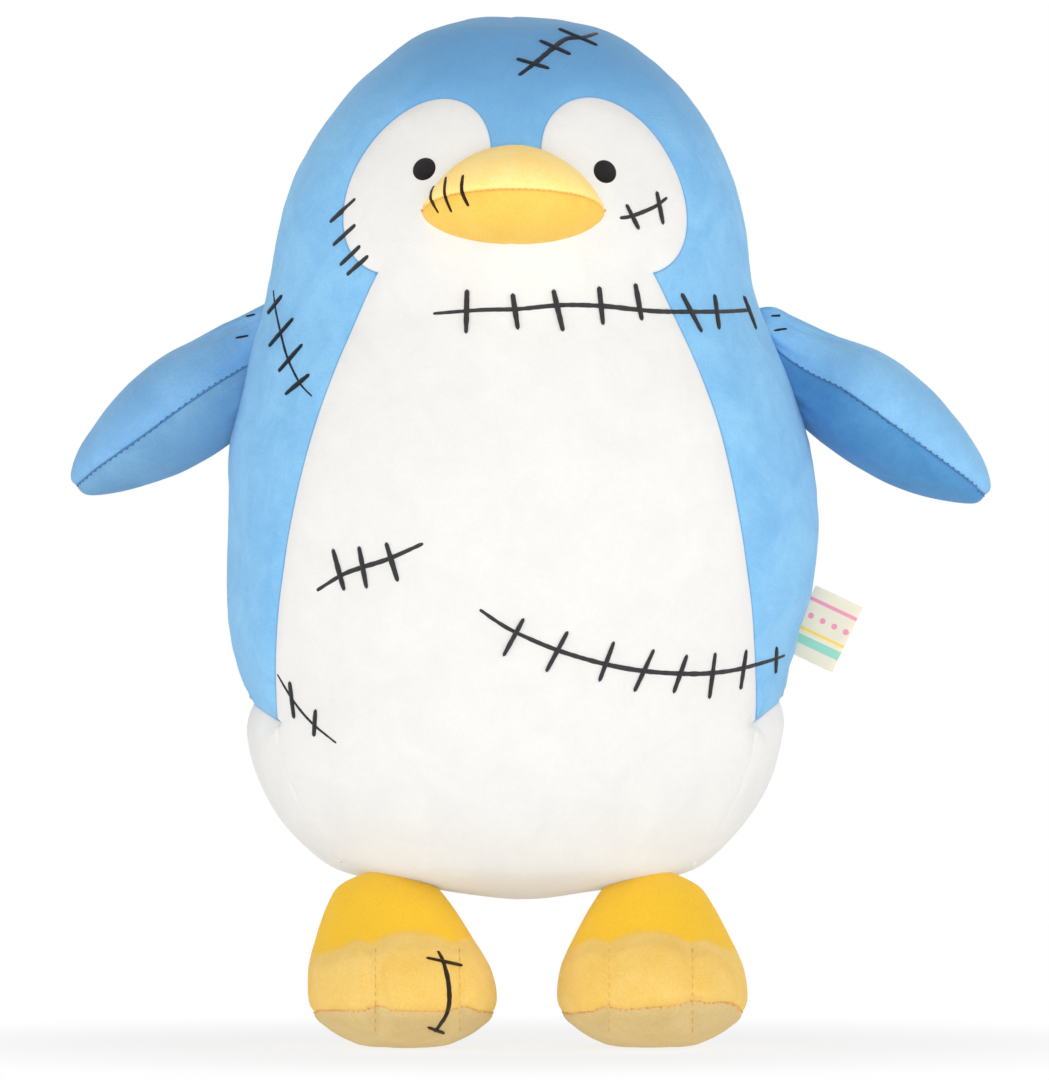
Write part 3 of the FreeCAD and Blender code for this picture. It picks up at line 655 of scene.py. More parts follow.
def shapeFoot(points, side, stance):
    lowOut, topOut, toesOut, seamUp, seamTilt = stance
    x, y, z = footSection(points)
    facing = ease(0.05, 0.75, -points[:, 1] / (np.hypot(points[:, 0], points[:, 1]) + 1e-9))
    toeX = x - toesOut * mm
    edge = toeEdge(toeX)
    # toes: full below their edge, with the instep set back above it
    inToe = ease(-2.5 * mm, 6 * mm, edge - z) * ease(-2 * mm, 14 * mm, z)
    along = np.abs(toeX) / foot["toeLines"]
    crown = np.where(along < 1, 1 - 0.16 * along ** 2, 0.84 - 0.25 * np.clip(along - 1, 0, 1) ** 2)
    puff = foot["toePuff"] * inToe * crown * (1 - 0.45 * ease(20 * mm, 4 * mm, z))
    lineGap = np.abs(np.abs(toeX) - foot["toeLines"])
    crease = foot["toeLineDepth"] * np.clip(1 - lineGap / foot["toeLineWidth"], 0, 1)
    crease *= ease(-3 * mm, 3 * mm, edge - z) * ease(0, 4 * mm, z)
    move = facing * (puff - crease - foot["instepBack"])
    placed = np.column_stack([x + x * move / (90 * mm), y - move, z + 0.12 * puff * facing])
    # the seam tilts, and rises a little at the toe lines
    nearSeam = facing * np.exp(-((z - foot["seamHeight"]) / (9 * mm)) ** 2)
    placed[:, 2] += nearSeam * (foot["seamRise"] * np.exp(-(lineGap / (4 * mm)) ** 2)
                                + (seamUp + seamTilt * side * x / (35 * mm)) * mm)
    rim = np.hypot(x / (36 * mm), (y + 2 * mm) / (58 * mm))
    placed[:, 2] += foot["spring"] * ease(0.25, 1.1, rim) * (1 - ease(0, 16 * mm, z))
    lean = lowOut + topOut * 1.15 * ease(10 * mm, 75 * mm, z)
    placed[:, 0] = side * (foot["middle"][0] + placed[:, 0] + lean * mm)
    placed[:, 1] += foot["middle"][1]
    return placed


def ballOf(piece):
    # takes the stored ball points off a cut piece
    stored = piece.data.attributes["ball"]
    values = np.empty(len(piece.data.vertices) * 3, dtype=np.float32)
    stored.data.foreach_get("vector", values)
    piece.data.attributes.remove(stored)
    values = values.reshape(-1, 3).astype(float)
    return values / np.linalg.norm(values, axis=1)[:, None]


def makeFoot(side, sideName):
    whole = roundBlank("footForm", 39, 1)
    ball = getPoints(whole)
    layer = whole.data.attributes.new("ball", "FLOAT_VECTOR", "POINT")
    layer.data.foreach_set("vector", ball.ravel())
    setPoints(whole, np.column_stack(footSection(ball)))
    # cut level before it is shaped, so that the seam rides over the toes with the cloth
    cutPlace = (0, 0, foot["seamHeight"])
    top = halve(copyOf(whole, "foot" + sideName + "Top"), cutPlace, (0, 0, 1), True)
    sole = halve(copyOf(whole, "foot" + sideName + "Sole"), cutPlace, (0, 0, 1), False)

    stance = foot["stance"][sideName]
    setPoints(whole, shapeFoot(ball, side, stance))
    if side < 0:
        whole.data.flip_normals()
    skin = skinOf(whole)
    rim = rimOf(top)
    ballPoints = {piece: ballOf(piece) for piece in (top, sole)}
    seamLine = shapeFoot(ballPoints[top][rim], side, stance)
    for piece in (top, sole):
        points = shapeFoot(ballPoints[piece], side, stance)
        if side < 0:
            piece.data.flip_normals()
        lumps = foot["lump"] * softNoise(points, 24 * mm, 14 + side) * ease(0, 8 * mm, points[:, 2])
        distance = sewCloth(piece, points, skin, seamLine, foot["seamDepth"], foot["seamWidth"],
                            foot["pucker"], 21 + side, lumps)
        sewn = getPoints(piece)
        sewn[:, 2] = np.maximum(sewn[:, 2], 0.05 * mm)
        setPoints(piece, sewn)
        setMask(piece, "seam", distance / mm)
        # painted shade: the instep above the toes, in the shade under the belly, is painted the deepest
        # yellow, fading back over the heel
        x, y, z = footSection(ballPoints[piece])
        toesOut = stance[2] * mm
        setMask(piece, "paintedShade", ease(-0.6 * mm, 2.2 * mm, z - toeEdge(x - toesOut))
                * (1 - ease(-5 * mm, 40 * mm, y)))
        makeCover(piece, foot["cloth"])
    removePiece(whole)
    return [top, sole], seamLine


footPanels = {}
footSeams = {}
for side, sideName in ((1, "Left"), (-1, "Right")):
    footPanels[sideName], footSeams[sideName] = makeFoot(side, sideName)
print("feet shaped")


# beak

beak = {
    "middleX": -1 * mm, "half": 35.3 * mm,
    "corner": 321.5 * mm, "top": 347.4 * mm, "seam": 329.6 * mm, "bottom": 308.4 * mm,
    "front": -101.0 * mm, "depth": 36 * mm,
    "cloth": 1.0 * mm, "seamDepth": 0.7 * mm, "seamWidth": 3.2 * mm, "pucker": 0.25 * mm, "lump": 0.4 * mm,
    "dart": (-1.5 * mm, 0.35 * mm, 4 * mm),  # across, depth and half width
    "stitch": (1.6 * mm, 1.3 * mm, 0.4 * mm),  # length, gap and width
    "stitchedTo": -84 * mm,
}


def shapeBeak(points):
    share = np.clip(np.abs(points[:, 0]), 0, 1) ** 0.9
    x = beak["half"] * np.sign(points[:, 0]) * share
    around = np.hypot(points[:, 1], points[:, 2]) + 1e-9
    up, ahead = points[:, 2] / around, -points[:, 1] / around
    middling = np.clip(1 - share ** 2, 0, 1)
    seam = beak["corner"] + (beak["seam"] - beak["corner"]) * middling ** 0.42
    top = beak["corner"] + (beak["top"] - beak["corner"]) * middling ** 0.72
    bottom = beak["corner"] - (beak["corner"] - beak["bottom"]) * middling ** 0.6
    z = np.where(up > 0, seam + (top - seam) * up, seam + (seam - bottom) * up)
    y = beak["front"] + beak["depth"] - beak["depth"] * middling ** 0.6 * ahead
    return np.column_stack([x + beak["middleX"], y, z])


def makeBeak():
    halves = [halve(roundBlank("beak" + part, 47), (0, 0, 0), (0, 0, 1), keep)
              for part, keep in (("Upper", True), ("Lower", False))]
    seamLine = shapeBeak(seamPointsOf(halves[:1]))
    whole = roundBlank("beakForm", 47)
    setPoints(whole, shapeBeak(getPoints(whole)))
    skin = skinOf(whole)
    dartMiddle, dartDepth, dartHalf = beak["dart"]
    for piece in halves:
        points = shapeBeak(getPoints(piece))
        # a short dart runs up the middle of the chin
        inDart = np.clip(1 - np.abs(points[:, 0] - dartMiddle) / dartHalf, 0, 1) ** 2
        inDart *= 1 - ease(314 * mm, 322 * mm, points[:, 2])
        lumps = beak["lump"] * softNoise(points, 18 * mm, 33) - dartDepth * inDart
        distance = sewCloth(piece, points, skin, seamLine, beak["seamDepth"], beak["seamWidth"],
                            beak["pucker"], 31, lumps)
        setMask(piece, "seam", distance / mm)
        makeCover(piece, beak["cloth"])
    removePiece(whole)
    return halves, seamLine


beakPanels, beakSeam = makeBeak()
print("beak shaped")


# thread work lies on the finished cloth

def clothTree(pieces):
    points = []
    faces = []
    for piece in pieces:
        start = len(points)
        points.extend(vertex.co.copy() for vertex in piece.data.vertices)
        faces.extend([start + number for number in face.vertices] for face in piece.data.polygons)
    return BVHTree.FromPolygons(points, faces)


wholeCloth = clothTree(list(torsoPanels.values()) + beakPanels)


def onCloth(x, z, tree=wholeCloth):
    # the place on the cloth that covers a point of the upright middle plane, and the cloth's slope there
    eyePoint = Vector((cameraView["side"], -cameraView["distance"], cameraView["height"]))
    place, normal, face, distance = tree.ray_cast(eyePoint, Vector((x, 0, z)) - eyePoint)
    return (place, normal) if place else (None, None)


class Mesher:
    # gathers points and faces of one piece, with a length and width along each thread
    def __init__(self):
        self.points = []
        self.faces = []
        self.uvs = []

    def strip(self, rows, lengths, widths):
        # rows of points across a thread, joined into a closed-ended strip
        start = len(self.points)
        across = len(rows[0])
        for row in rows:
            self.points.extend(row)
        for r in range(len(rows) - 1):
            for c in range(across - 1):
                corner = start + r * across + c
                self.faces.append((corner, corner + 1, corner + across + 1, corner + across))
                self.uvs.extend([(lengths[r], widths[c]), (lengths[r], widths[c + 1]),
                                 (lengths[r + 1], widths[c + 1]), (lengths[r + 1], widths[c])])

    def finish(self, name):
        mesh = bpy.data.meshes.new(name)
        mesh.from_pydata([tuple(p) for p in self.points], [], self.faces)
        layer = mesh.uv_layers.new(name="thread")
        layer.data.foreach_set("uv", np.array(self.uvs, dtype=np.float32).ravel())
        for face in mesh.polygons:
            face.use_smooth = True
        piece = bpy.data.objects.new(name, mesh)
        bpy.context.scene.collection.objects.link(piece)
        return piece


thread = {
    "widths": (2.0, 2.1),  # of a scar's line and its bars, in mm
    "height": 0.9 * mm,
    "barLift": 0.45 * mm,
    "sunk": 0.25 * mm,
    "step": 0.7 * mm,
    "sides": 9,
    "endShare": 0.62,  # of the full width, towards the ends
    "uneven": 0.16,
}


def raiseStroke(mesher, line, width, height, lift, tree):
    # a satin-stitched stroke laid on the cloth: half round, fullest near its middle
    length = np.sum(np.linalg.norm(np.diff(line, axis=0), axis=1))
    steps = max(8, int(length / thread["step"]))
    route = smoothLine(line, steps + 1)
    places = []
    for x, z in route:
        place, normal = onCloth(x, z, tree)
        if place is not None:
            places.append((place, normal))
    if len(places) < 4:
        return
    rows = []
    lengths = []
    run = 0.0
    total = sum((b[0] - a[0]).length for a, b in zip(places, places[1:]))
    lean = 1 + 0.4 * noise.noise(places[0][0] * 300)  # which end is the thinner
    for number, (place, normal) in enumerate(places):
        before = places[max(number - 1, 0)][0]
        after = places[min(number + 1, len(places) - 1)][0]
        along = (after - before).normalized()
        out = sum((places[k][1] for k in range(max(0, number - 3), min(len(places), number + 4))), Vector())
        out = (out - along * out.dot(along)).normalized()
        side = along.cross(out)
        if number:
            run += (place - before).length
        endGap = min(run, total - run)
        half = width / 2 * math.sqrt(1 - (1 - min(endGap / (width * 0.5), 1)) ** 2)
        endShare = thread["endShare"]
        half *= endShare + (1 - endShare) * math.sin(math.pi * min(run / total, 1) ** lean) ** 0.5
        half = max(half, 0.02 * mm) * (1 + thread["uneven"] * noise.noise(place * 420))
        rise = height * half / (width / 2)
        rows.append([place + side * half * math.cos(a) + out * (rise * math.sin(a) + lift - thread["sunk"])
                     for a in np.linspace(math.pi * 1.06, -math.pi * 0.06, thread["sides"])])
        lengths.append(run / mm)
    mesher.strip(rows, lengths, np.linspace(0, 1, thread["sides"]))


# scars: crossed satin bars along a satin line, in mm across and up; the plain ones are of grey thread
# on the torso
scars = {
    "crown": {
        "line": [(0.8, 376.3), (7, 381), (14.4, 387.1), (19.4, 390.6), (25.6, 391.2), (32, 393.1)],
        "bars": [((0, 382.9), (13.2, 379)), ((8.9, 390), (21.4, 384.4)), ((16.3, 394.5), (31.8, 387.9))],
        "widths": (2.4, 1.7), "thread": "inkThread",
    },
    "leftCheek": {
        "bars": [((-72.6, 319.2), (-62.1, 328.9)), ((-71.4, 310.2), (-62.1, 318.8)),
                 ((-68.7, 302.5), (-60.2, 310.6)), ((-66, 298.8), (-57.1, 306.7))],
    },
    "rightCheek": {
        "line": [(40, 321.1), (45, 321.9), (53.6, 325.4), (59, 329.3)],
        "bars": [((42.7, 326.6), (47.8, 316.5)), ((54.5, 331.6), (57.1, 318.4))],
        "widths": (1.7, 1.8),
    },
    "chest": {
        "line": [(-32.6, 284), (-14, 285.4), (0.8, 285.8), (17.5, 287.3), (33, 287), (46.6, 285.6),
                 (57.5, 284.8), (78.8, 284.8), (91.2, 285.4)],
        "bars": [((-19, 293.5), (-19.4, 276.1)), ((-1.4, 292), (0.8, 277.6)),
                 ((14.4, 293.5), (18.3, 276.9)), ((32.2, 294.7), (33.8, 279.4)),
                 ((46.2, 295.9), (48.9, 281.1)), ((64.1, 292), (72.2, 276.5)),
                 ((76.9, 291.6), (78.8, 277.6)), ((88.1, 291), (93.2, 277.6))],
    },
    "sideBody": {
        "line": [(-94.2, 293.5), (-93.2, 285.4), (-91.1, 275.7), (-88.5, 266.4), (-83.9, 257),
                 (-79, 251.6)],
        "bars": [((-90.5, 291.2), (-96.3, 283.8)), ((-86.2, 282.3), (-95.9, 271)),
                 ((-82.7, 272.2), (-92.2, 261.3)), ((-80, 260.5), (-89.7, 252.4))],
        "widths": (1.0, 1.9), "thread": "inkThread",
    },
    "shortBelly": {
        "line": [(-77.7, 176.3), (-67.6, 182.5), (-59.4, 185.6), (-49.7, 188.7), (-35.7, 194.9)],
        "bars": [((-71.1, 192.8), (-66.6, 176.3)), ((-61, 193.8), (-57.9, 177.1)),
                 ((-50.5, 195.3), (-45.8, 179.8))],
    },
    "hip": {
        "line": [(-92.8, 144.3), (-86.2, 133.4), (-79.2, 125), (-69.5, 117)],
        "bars": [((-87.8, 141.4), (-86, 126.6)), ((-77.7, 130.5), (-78.4, 119.6))],
        "widths": (1.1, 1.9),
    },
    "longBelly": {
        "line": [(-14.4, 169.3), (-6.6, 163.9), (1.2, 159.6), (15.9, 153.4), (33, 148.3), (49.7, 145.2),
                 (68, 144.1), (79.6, 144.8), (88.5, 146.4), (99.4, 149.5), (104.8, 151.4)],
        "bars": [((3.1, 165.8), (-5, 150.9)), ((20.2, 160.8), (11.6, 144.8)),
                 ((38.1, 156.9), (32.2, 141)), ((53.6, 153.8), (45.8, 137.1)),
                 ((66.4, 151.8), (61, 136.5)), ((77.3, 152.6), (74.9, 134.3)),
                 ((89.3, 153.8), (87, 137.9)), ((101, 154.9), (100.6, 144.1))],
        "widths": (2.0, 1.8),
    },
    "beakScar": {
        "bars": [((-31.8, 333.9), (-33, 328.9), (-29.9, 322.7)),
                 ((-27.2, 337.4), (-27.6, 330.3), (-24.9, 323.1)),
                 ((-20.6, 338.2), (-21, 331.6), (-18.3, 325.4))],
        "widths": (1.5, 1.7), "thread": "brownThread",
    },
    "footScar": {
        "line": [(-30.4, 36.9), (-28.1, 31.9), (-26.1, 22.9), (-26.5, 13.2), (-31.6, 4.7)],
        "bars": [((-35.1, 33.8), (-20.7, 30.7)), ((-34.5, 7.2), (-27.7, 4.7))],
        "widths": (2.5, 1.3), "thread": "brownThread", "body": "right foot",
    },
    "rootLeft": {
        "bars": [((99.8, 277.4), (105.6, 278.2)), ((98.8, 283), (103, 283.3))],
        "widths": (1, 1), "thread": "inkThread", "body": "left wing",
    },
    "rootRight": {
        "bars": [((-109.3, 274.4), (-103.6, 275.5)), ((-105, 282.8), (-101, 283.7))],
        "widths": (1, 1), "thread": "inkThread", "body": "right wing",
    },
}


clothUnder = {
    "torso": wholeCloth,
    "right foot": clothTree(footPanels["Right"]),
    "left wing": clothTree(wingPanels["Left"]),
    "right wing": clothTree(wingPanels["Right"]),
}


def makeScar(name):
    scar = scars[name]
    body = scar.get("body", "torso")
    lineWidth, barWidth = np.array(scar.get("widths", thread["widths"])) * mm
    line = scar.get("line")
    mesher = Mesher()
    if line:
        raiseStroke(mesher, np.array(line) * mm, lineWidth, thread["height"], 0.0, clothUnder[body])
    for bar in scar["bars"]:
        raiseStroke(mesher, np.array(bar) * mm, barWidth, thread["height"],
                    thread["barLift"] if line else 0.0, clothUnder[body])
    piece = mesher.finish("scar" + name[0].upper() + name[1:])
    # the bars at the wing roots are left without a body, like the wing cloth that they lie on
    if not name.startswith("root"):
        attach(piece, body)
    return piece


scarPieces = {name: makeScar(name) for name in scars}

# faint stitches down the two toe lines of each foot
toeLines = {
    "places": {"Left": (36.2, 68.6), "Right": (-21.9, -54.6)},  # mm across
    "between": (5, 38),  # mm up
    "pitch": 3.4, "stitch": 2.1,
    "width": 0.5 * mm, "height": 0.25 * mm, "lift": 0.15 * mm,
}


def makeToeLines(sideName):
    mesher = Mesher()
    tree = clothTree(footPanels[sideName])
    for x in toeLines["places"][sideName]:
        for low in np.arange(*toeLines["between"], toeLines["pitch"]):
            line = np.array([(x, low), (x, low + toeLines["stitch"])]) * mm
            raiseStroke(mesher, line, toeLines["width"], toeLines["height"], toeLines["lift"], tree)
    return mesher.finish("toeStitches" + sideName)


toeStitches = {sideName: makeToeLines(sideName) for sideName in toeLines["places"]}
print("scars stitched")


# eyes: domed satin discs

eye = {
    "places": {"Right": (-35.7, 340.2), "Left": (34.6, 339.2)},  # mm across and up
    "radius": 4.7 * mm, "dome": 1.3 * mm, "sunk": 0.15 * mm,
    "rings": 14, "spokes": 44,
}


def makeEye(sideName):
    mesher = Mesher()
    x, z = eye["places"][sideName]
    rings, spokes = eye["rings"], eye["spokes"]
    centre, out = onCloth(x * mm, z * mm)
    side = out.cross(Vector((0, 0, 1))).normalized()
    up = side.cross(out).normalized()
    rows = []
    for ring in range(rings + 1):
        share = ring / rings
        radius = eye["radius"] * math.sin(share * math.pi / 2)
        row = []
        for spoke in range(spokes + 1):
            angle = spoke / spokes * 2 * math.pi
            flat = centre + (side * math.cos(angle) + up * math.sin(angle)) * radius
            place, normal, face, distance = wholeCloth.find_nearest(flat)
            rise = eye["dome"] * math.cos(share * math.pi / 2) - eye["sunk"]
            row.append(place + out * rise)
        rows.append(row)
    mesher.strip(rows, np.linspace(0, eye["radius"] / mm, rings + 1), np.linspace(0, 1, spokes + 1))
    piece = mesher.finish("eye" + sideName)
    pick(piece)
    bpy.ops.object.mode_set(mode="EDIT")
    bpy.ops.mesh.select_all(action="SELECT")
    bpy.ops.mesh.remove_doubles(threshold=0.00002)
    bpy.ops.mesh.normals_make_consistent(inside=False)
    bpy.ops.object.mode_set(mode="OBJECT")
    return piece


eyes = {sideName: makeEye(sideName) for sideName in eye["places"]}
finishPiece(eyes["Left"], "torso", ["eye_left"])
finishPiece(eyes["Right"], "torso", ["eye_right"])
print("eyes sewn")


# the label: a printed ribbon folded over on itself and caught in the side seam

label = {
    "length": 28 * mm, "reach": 20 * mm, "ribbon": 0.45 * mm, "gap": 0.5 * mm,
    "shift": (-3.6 * mm, 0, 0.8 * mm),  # sewn a little further in than the joint
    "lean": (0.08, 0, 0),  # and leaning a little more
    "tuck": 1.5 * mm, "fold": 2.2 * mm, "curl": 1.3 * mm, "wave": 0.35 * mm,
}


def makeLabel():
    joint = [j for j in frame["joints"] if j["name"] == "label flap"][0]
    root = Vector(joint["pos_m"]) + Vector(label["shift"])
    along = (Vector(joint["axis"]).normalized() + Vector(label["lean"])).normalized()
    outward = Vector((along.z, 0, -along.x))
    back = Vector((0, 1, 0))
    deselectAll()
    bpy.ops.mesh.primitive_plane_add(size=1)
    piece = bpy.context.object
    piece.name = piece.data.name = "sideLabel"
    bpy.ops.object.mode_set(mode="EDIT")
    bpy.ops.mesh.select_all(action="SELECT")
    bpy.ops.mesh.subdivide(number_cuts=59)
    bpy.ops.object.mode_set(mode="OBJECT")
    flat = getPoints(piece)
    half = label["gap"] / 2 + label["ribbon"] / 2
    run = (flat[:, 0] + 0.5) * (2 * label["reach"])
    points = []
    for distance, across in zip(run, flat[:, 1]):
        out = label["reach"] - abs(distance - label["reach"])
        bend = min(1.0, (label["reach"] - out) / label["fold"])
        depth = half * math.sin(bend * math.pi / 2) * (1 if distance < label["reach"] else -1)
        curl = label["curl"] * math.sin(across * 3.0 + 0.4) * (out / label["reach"]) ** 2
        wave = label["wave"] * math.sin(across * 9 + out * 160) * out / label["reach"]
        points.append(root + outward * (out - label["tuck"]) + along * (across * label["length"])
                      + back * (-depth + curl + wave))
    setPoints(piece, points)
    layer = piece.data.uv_layers.active or piece.data.uv_layers.new(name="ribbon")
    layer.name = "ribbon"
    for loop in piece.data.loops:
        across = flat[loop.vertex_index, 1] + 0.5
        layer.data[loop.index].uv = (run[loop.vertex_index] / mm, across * label["length"] / mm)
    applyModifier(piece, "SOLIDIFY", thickness=label["ribbon"], offset=0, use_rim=True)
    pick(piece)
    bpy.ops.object.shade_smooth_by_angle(angle=math.radians(40))
    finishPiece(piece, "label", ["side_label"])
    return piece


sideLabel = makeLabel()
print("label folded")


# running stitches along the seams of the wings, feet and beak

def orderRim(points):
    # follows a closed rim round from one point to its nearest unvisited neighbour
    widestGap = 8 * mm
    left = list(range(1, len(points)))
    order = [0]
    while left:
        here = points[order[-1]]
        gaps = np.linalg.norm(points[left] - here, axis=1)
        number = int(np.argmin(gaps))
        if gaps[number] > widestGap:
            break
        order.append(left.pop(number))
    return points[order]


def runStitches(name, seamLine, pieces, size, skip=None):
    # small stitches in a row; size is their length, gap and width
    stitch, gap, width = size
    step = 0.5 * mm
    tree = clothTree(pieces)
    route = orderRim(seamLine)
    length = np.sum(np.linalg.norm(np.diff(route, axis=0), axis=1))
    even = smoothLine(route, int(length / step))
    mesher = Mesher()
    pitch = int((stitch + gap) / step)
    count = max(3, int(stitch / step))
    for start in range(0, len(even) - count, pitch):
        span = even[start:start + count + 1]
        if skip is not None and skip(span[0]):
            continue
        rows = []
        for number, point in enumerate(span):
            place, normal, face, distance = tree.find_nearest(Vector(point))
            before = Vector(span[max(number - 1, 0)])
            after = Vector(span[min(number + 1, len(span) - 1)])
            along = (after - before).normalized()
            out = (normal - along * normal.dot(along)).normalized()
            side = along.cross(out)
            arch = math.sin(number / (len(span) - 1) * math.pi)
            half = width / 2 * (0.55 + 0.45 * arch)
            rise = (0.3 * arch - 0.2) * mm
            rows.append([place + side * half * math.cos(a) + out * (half * math.sin(a) + rise)
                         for a in np.linspace(math.pi * 1.1, -math.pi * 0.1, 6)])
        mesher.strip(rows, np.linspace(0, stitch / mm, len(rows)), np.linspace(0, 1, 6))
    return mesher.finish(name)


# materials

def give(socket, value):
    # links another node's output to a socket, or sets the socket's own value
    if isinstance(value, bpy.types.NodeSocket):
        socket.id_data.links.new(value, socket)
    else:
        socket.default_value = value


def giveNamed(node, values):
    for key, value in values.items():
        give(node.inputs[key.replace("_", " ")], value)


def addNode(tree, kind, settings=None, **values):
    made = tree.nodes.new(kind)
    for key, value in (settings or {}).items():
        setattr(made, key, value)
    giveNamed(made, values)
    return made


def addMath(tree, operation, *values):
    made = addNode(tree, "ShaderNodeMath", {"operation": operation})
    for number, value in enumerate(values):
        give(made.inputs[number], value)
    return made.outputs[0]


def addMix(tree, factor, first, second, **settings):
    made = addNode(tree, "ShaderNodeMix", {"data_type": "RGBA", **settings},
                   Factor=factor, A=first, B=second)
    return made.outputs["Result"]


def mixShaders(tree, factor, first, second):
    made = addNode(tree, "ShaderNodeMixShader")
    for number, value in enumerate((factor, first, second)):
        give(made.inputs[number], value)
    return made.outputs[0]


def newMaterial(name, **values):
    material = bpy.data.materials.new(name)
    material.use_nodes = True
    shader = material.node_tree.nodes["Principled BSDF"]
    giveNamed(shader, values)
    return material, material.node_tree, shader


def newGroup(name, inputs, outputs):
    tree = bpy.data.node_groups.new(name, "ShaderNodeTree")
    for socket, kind, value in inputs:
        made = tree.interface.new_socket(name=socket, in_out="INPUT", socket_type=kind)
        made.default_value = value
    for socket, kind in outputs:
        tree.interface.new_socket(name=socket, in_out="OUTPUT", socket_type=kind)
    return tree, tree.nodes.new("NodeGroupInput"), tree.nodes.new("NodeGroupOutput")


def makePileGroup():
    # short brushed pile: fine fibres, brushed patches, and a darker line down in each seam
    inputs = [("Fibre", "NodeSocketFloat", 1500.0), ("Depth", "NodeSocketFloat", 0.5)]
    outputs = [("Patch", "NodeSocketFloat"), ("Fibre", "NodeSocketFloat"),
               ("Seam", "NodeSocketFloat"), ("Normal", "NodeSocketVector")]
    tree, inside, out = newGroup("shortPile", inputs, outputs)
    place = addNode(tree, "ShaderNodeTexCoord").outputs["Object"]
    fine = addNode(tree, "ShaderNodeTexNoise", Vector=place, Scale=inside.outputs["Fibre"],
                   Detail=3.0, Roughness=0.65)
    tuft = addNode(tree, "ShaderNodeTexNoise", Vector=place, Scale=420.0, Detail=2.0, Roughness=0.6)
    patch = addNode(tree, "ShaderNodeTexNoise", Vector=place, Scale=46.0, Detail=5.0, Roughness=0.68,
                    Distortion=0.5)
    height = addMath(tree, "MULTIPLY_ADD", tuft.outputs["Fac"], 0.8, fine.outputs["Fac"])
    bump = addNode(tree, "ShaderNodeBump", Strength=inside.outputs["Depth"], Distance=0.0006, Height=height)
    seam = addNode(tree, "ShaderNodeAttribute", {"attribute_name": "seam"})
    dark = addNode(tree, "ShaderNodeMapRange", {"interpolation_type": "SMOOTHSTEP"},
                   Value=seam.outputs["Fac"], From_Max=0.9, To_Min=1.0, To_Max=0.0)
    giveNamed(out, {"Patch": patch.outputs["Fac"], "Fibre": fine.outputs["Fac"],
                    "Seam": dark.outputs["Result"], "Normal": bump.outputs["Normal"]})
    return tree


def linearOf(red, green, blue):
    def toLinear(value):
        value /= 255
        return value / 12.92 if value <= 0.04045 else ((value + 0.055) / 1.055) ** 2.4
    return (toLinear(red), toLinear(green), toLinear(blue), 1.0)


pileGroup = makePileGroup()


# the cloths: colours of the pile where it lies light and dark, down in the seams and in its sheen. A mask
# of painted shade brings in a deeper colour over the crown and on the instep, "glow" is a painted glow, light
# of its own that lifts the cloth's darker parts, and "pale" is how far the light that the cloth throws on its
# neighbours is paler than the cloth. The wing and beak panels are lit and shaded copies of one cloth, and
# the two wings differ a little in painted shade.
plushes = {
    "bluePlush": {"light": (146, 205, 245), "dark": (127, 188, 235), "seam": (98, 156, 208),
                  "sheen": 0.35, "sheenTint": (205, 232, 250), "shadeColour": (98, 158, 210)},
    # painted light and shade: the lower wing panels are painted darker than the upper ones, and each wing
    # lighter or darker by how the light falls on its side
    "wingUpperPlushLeft": {"light": (146, 203, 244), "dark": (130, 189, 236), "seam": (76, 124, 176),
                           "sheen": 0.35, "sheenTint": (200, 230, 250)},
    "wingUpperPlushRight": {"light": (134, 188, 233), "dark": (119, 174, 223), "seam": (76, 124, 176),
                            "sheen": 0.35, "sheenTint": (200, 230, 250)},
    "wingLowerPlushLeft": {"light": (90, 154, 204), "dark": (76, 139, 195), "seam": (66, 112, 164),
                           "sheen": 0.3, "sheenTint": (190, 222, 250)},
    "wingLowerPlushRight": {"light": (127, 176, 213), "dark": (110, 162, 204), "seam": (66, 112, 164),
                            "sheen": 0.3, "sheenTint": (190, 222, 250)},
    "whitePlush": {"light": (237, 236, 233), "dark": (232, 231, 229), "seam": (222, 220, 218),
                   "sheen": 0.12, "sheenTint": (255, 255, 255), "depth": 0.16, "fibre": (0.965, 1.01)},
    # the feet: a painted glow, and a shade colour for the painted shade on the instep
    "yellowPlush": {"light": (239, 202, 117), "dark": (234, 191, 94), "seam": (240, 180, 88),
                    "sheen": 0.2, "sheenTint": (255, 230, 170), "shadeColour": (239, 190, 48),
                    "glow": 0.08, "pale": 0.7},
    # the beak: the upper panel is painted paler as painted light and the lower deeper as painted shade, both
    # with a painted glow
    "beakUpperPlush": {"light": (255, 227, 150), "dark": (255, 218, 130), "seam": (242, 184, 98),
                       "sheen": 0.2, "sheenTint": (255, 236, 190), "glow": 0.18, "pale": 0.5},
    "beakLowerPlush": {"light": (250, 207, 102), "dark": (248, 197, 85), "seam": (242, 176, 80),
                       "sheen": 0.2, "sheenTint": (255, 230, 170), "glow": 0.05, "pale": 0.5},
    # the soles: a little painted glow
    "solePlush": {"light": (219, 193, 134), "dark": (212, 183, 121), "seam": (226, 182, 112),
                  "sheen": 0.15, "sheenTint": (255, 236, 200), "glow": 0.05, "pale": 0.7},
}
paleBounce = (252, 246, 234)
plainPlush = {"depth": 0.45, "fibre": (0.9, 1.04), "shadeColour": None, "glow": 0.0, "pale": 0.0}


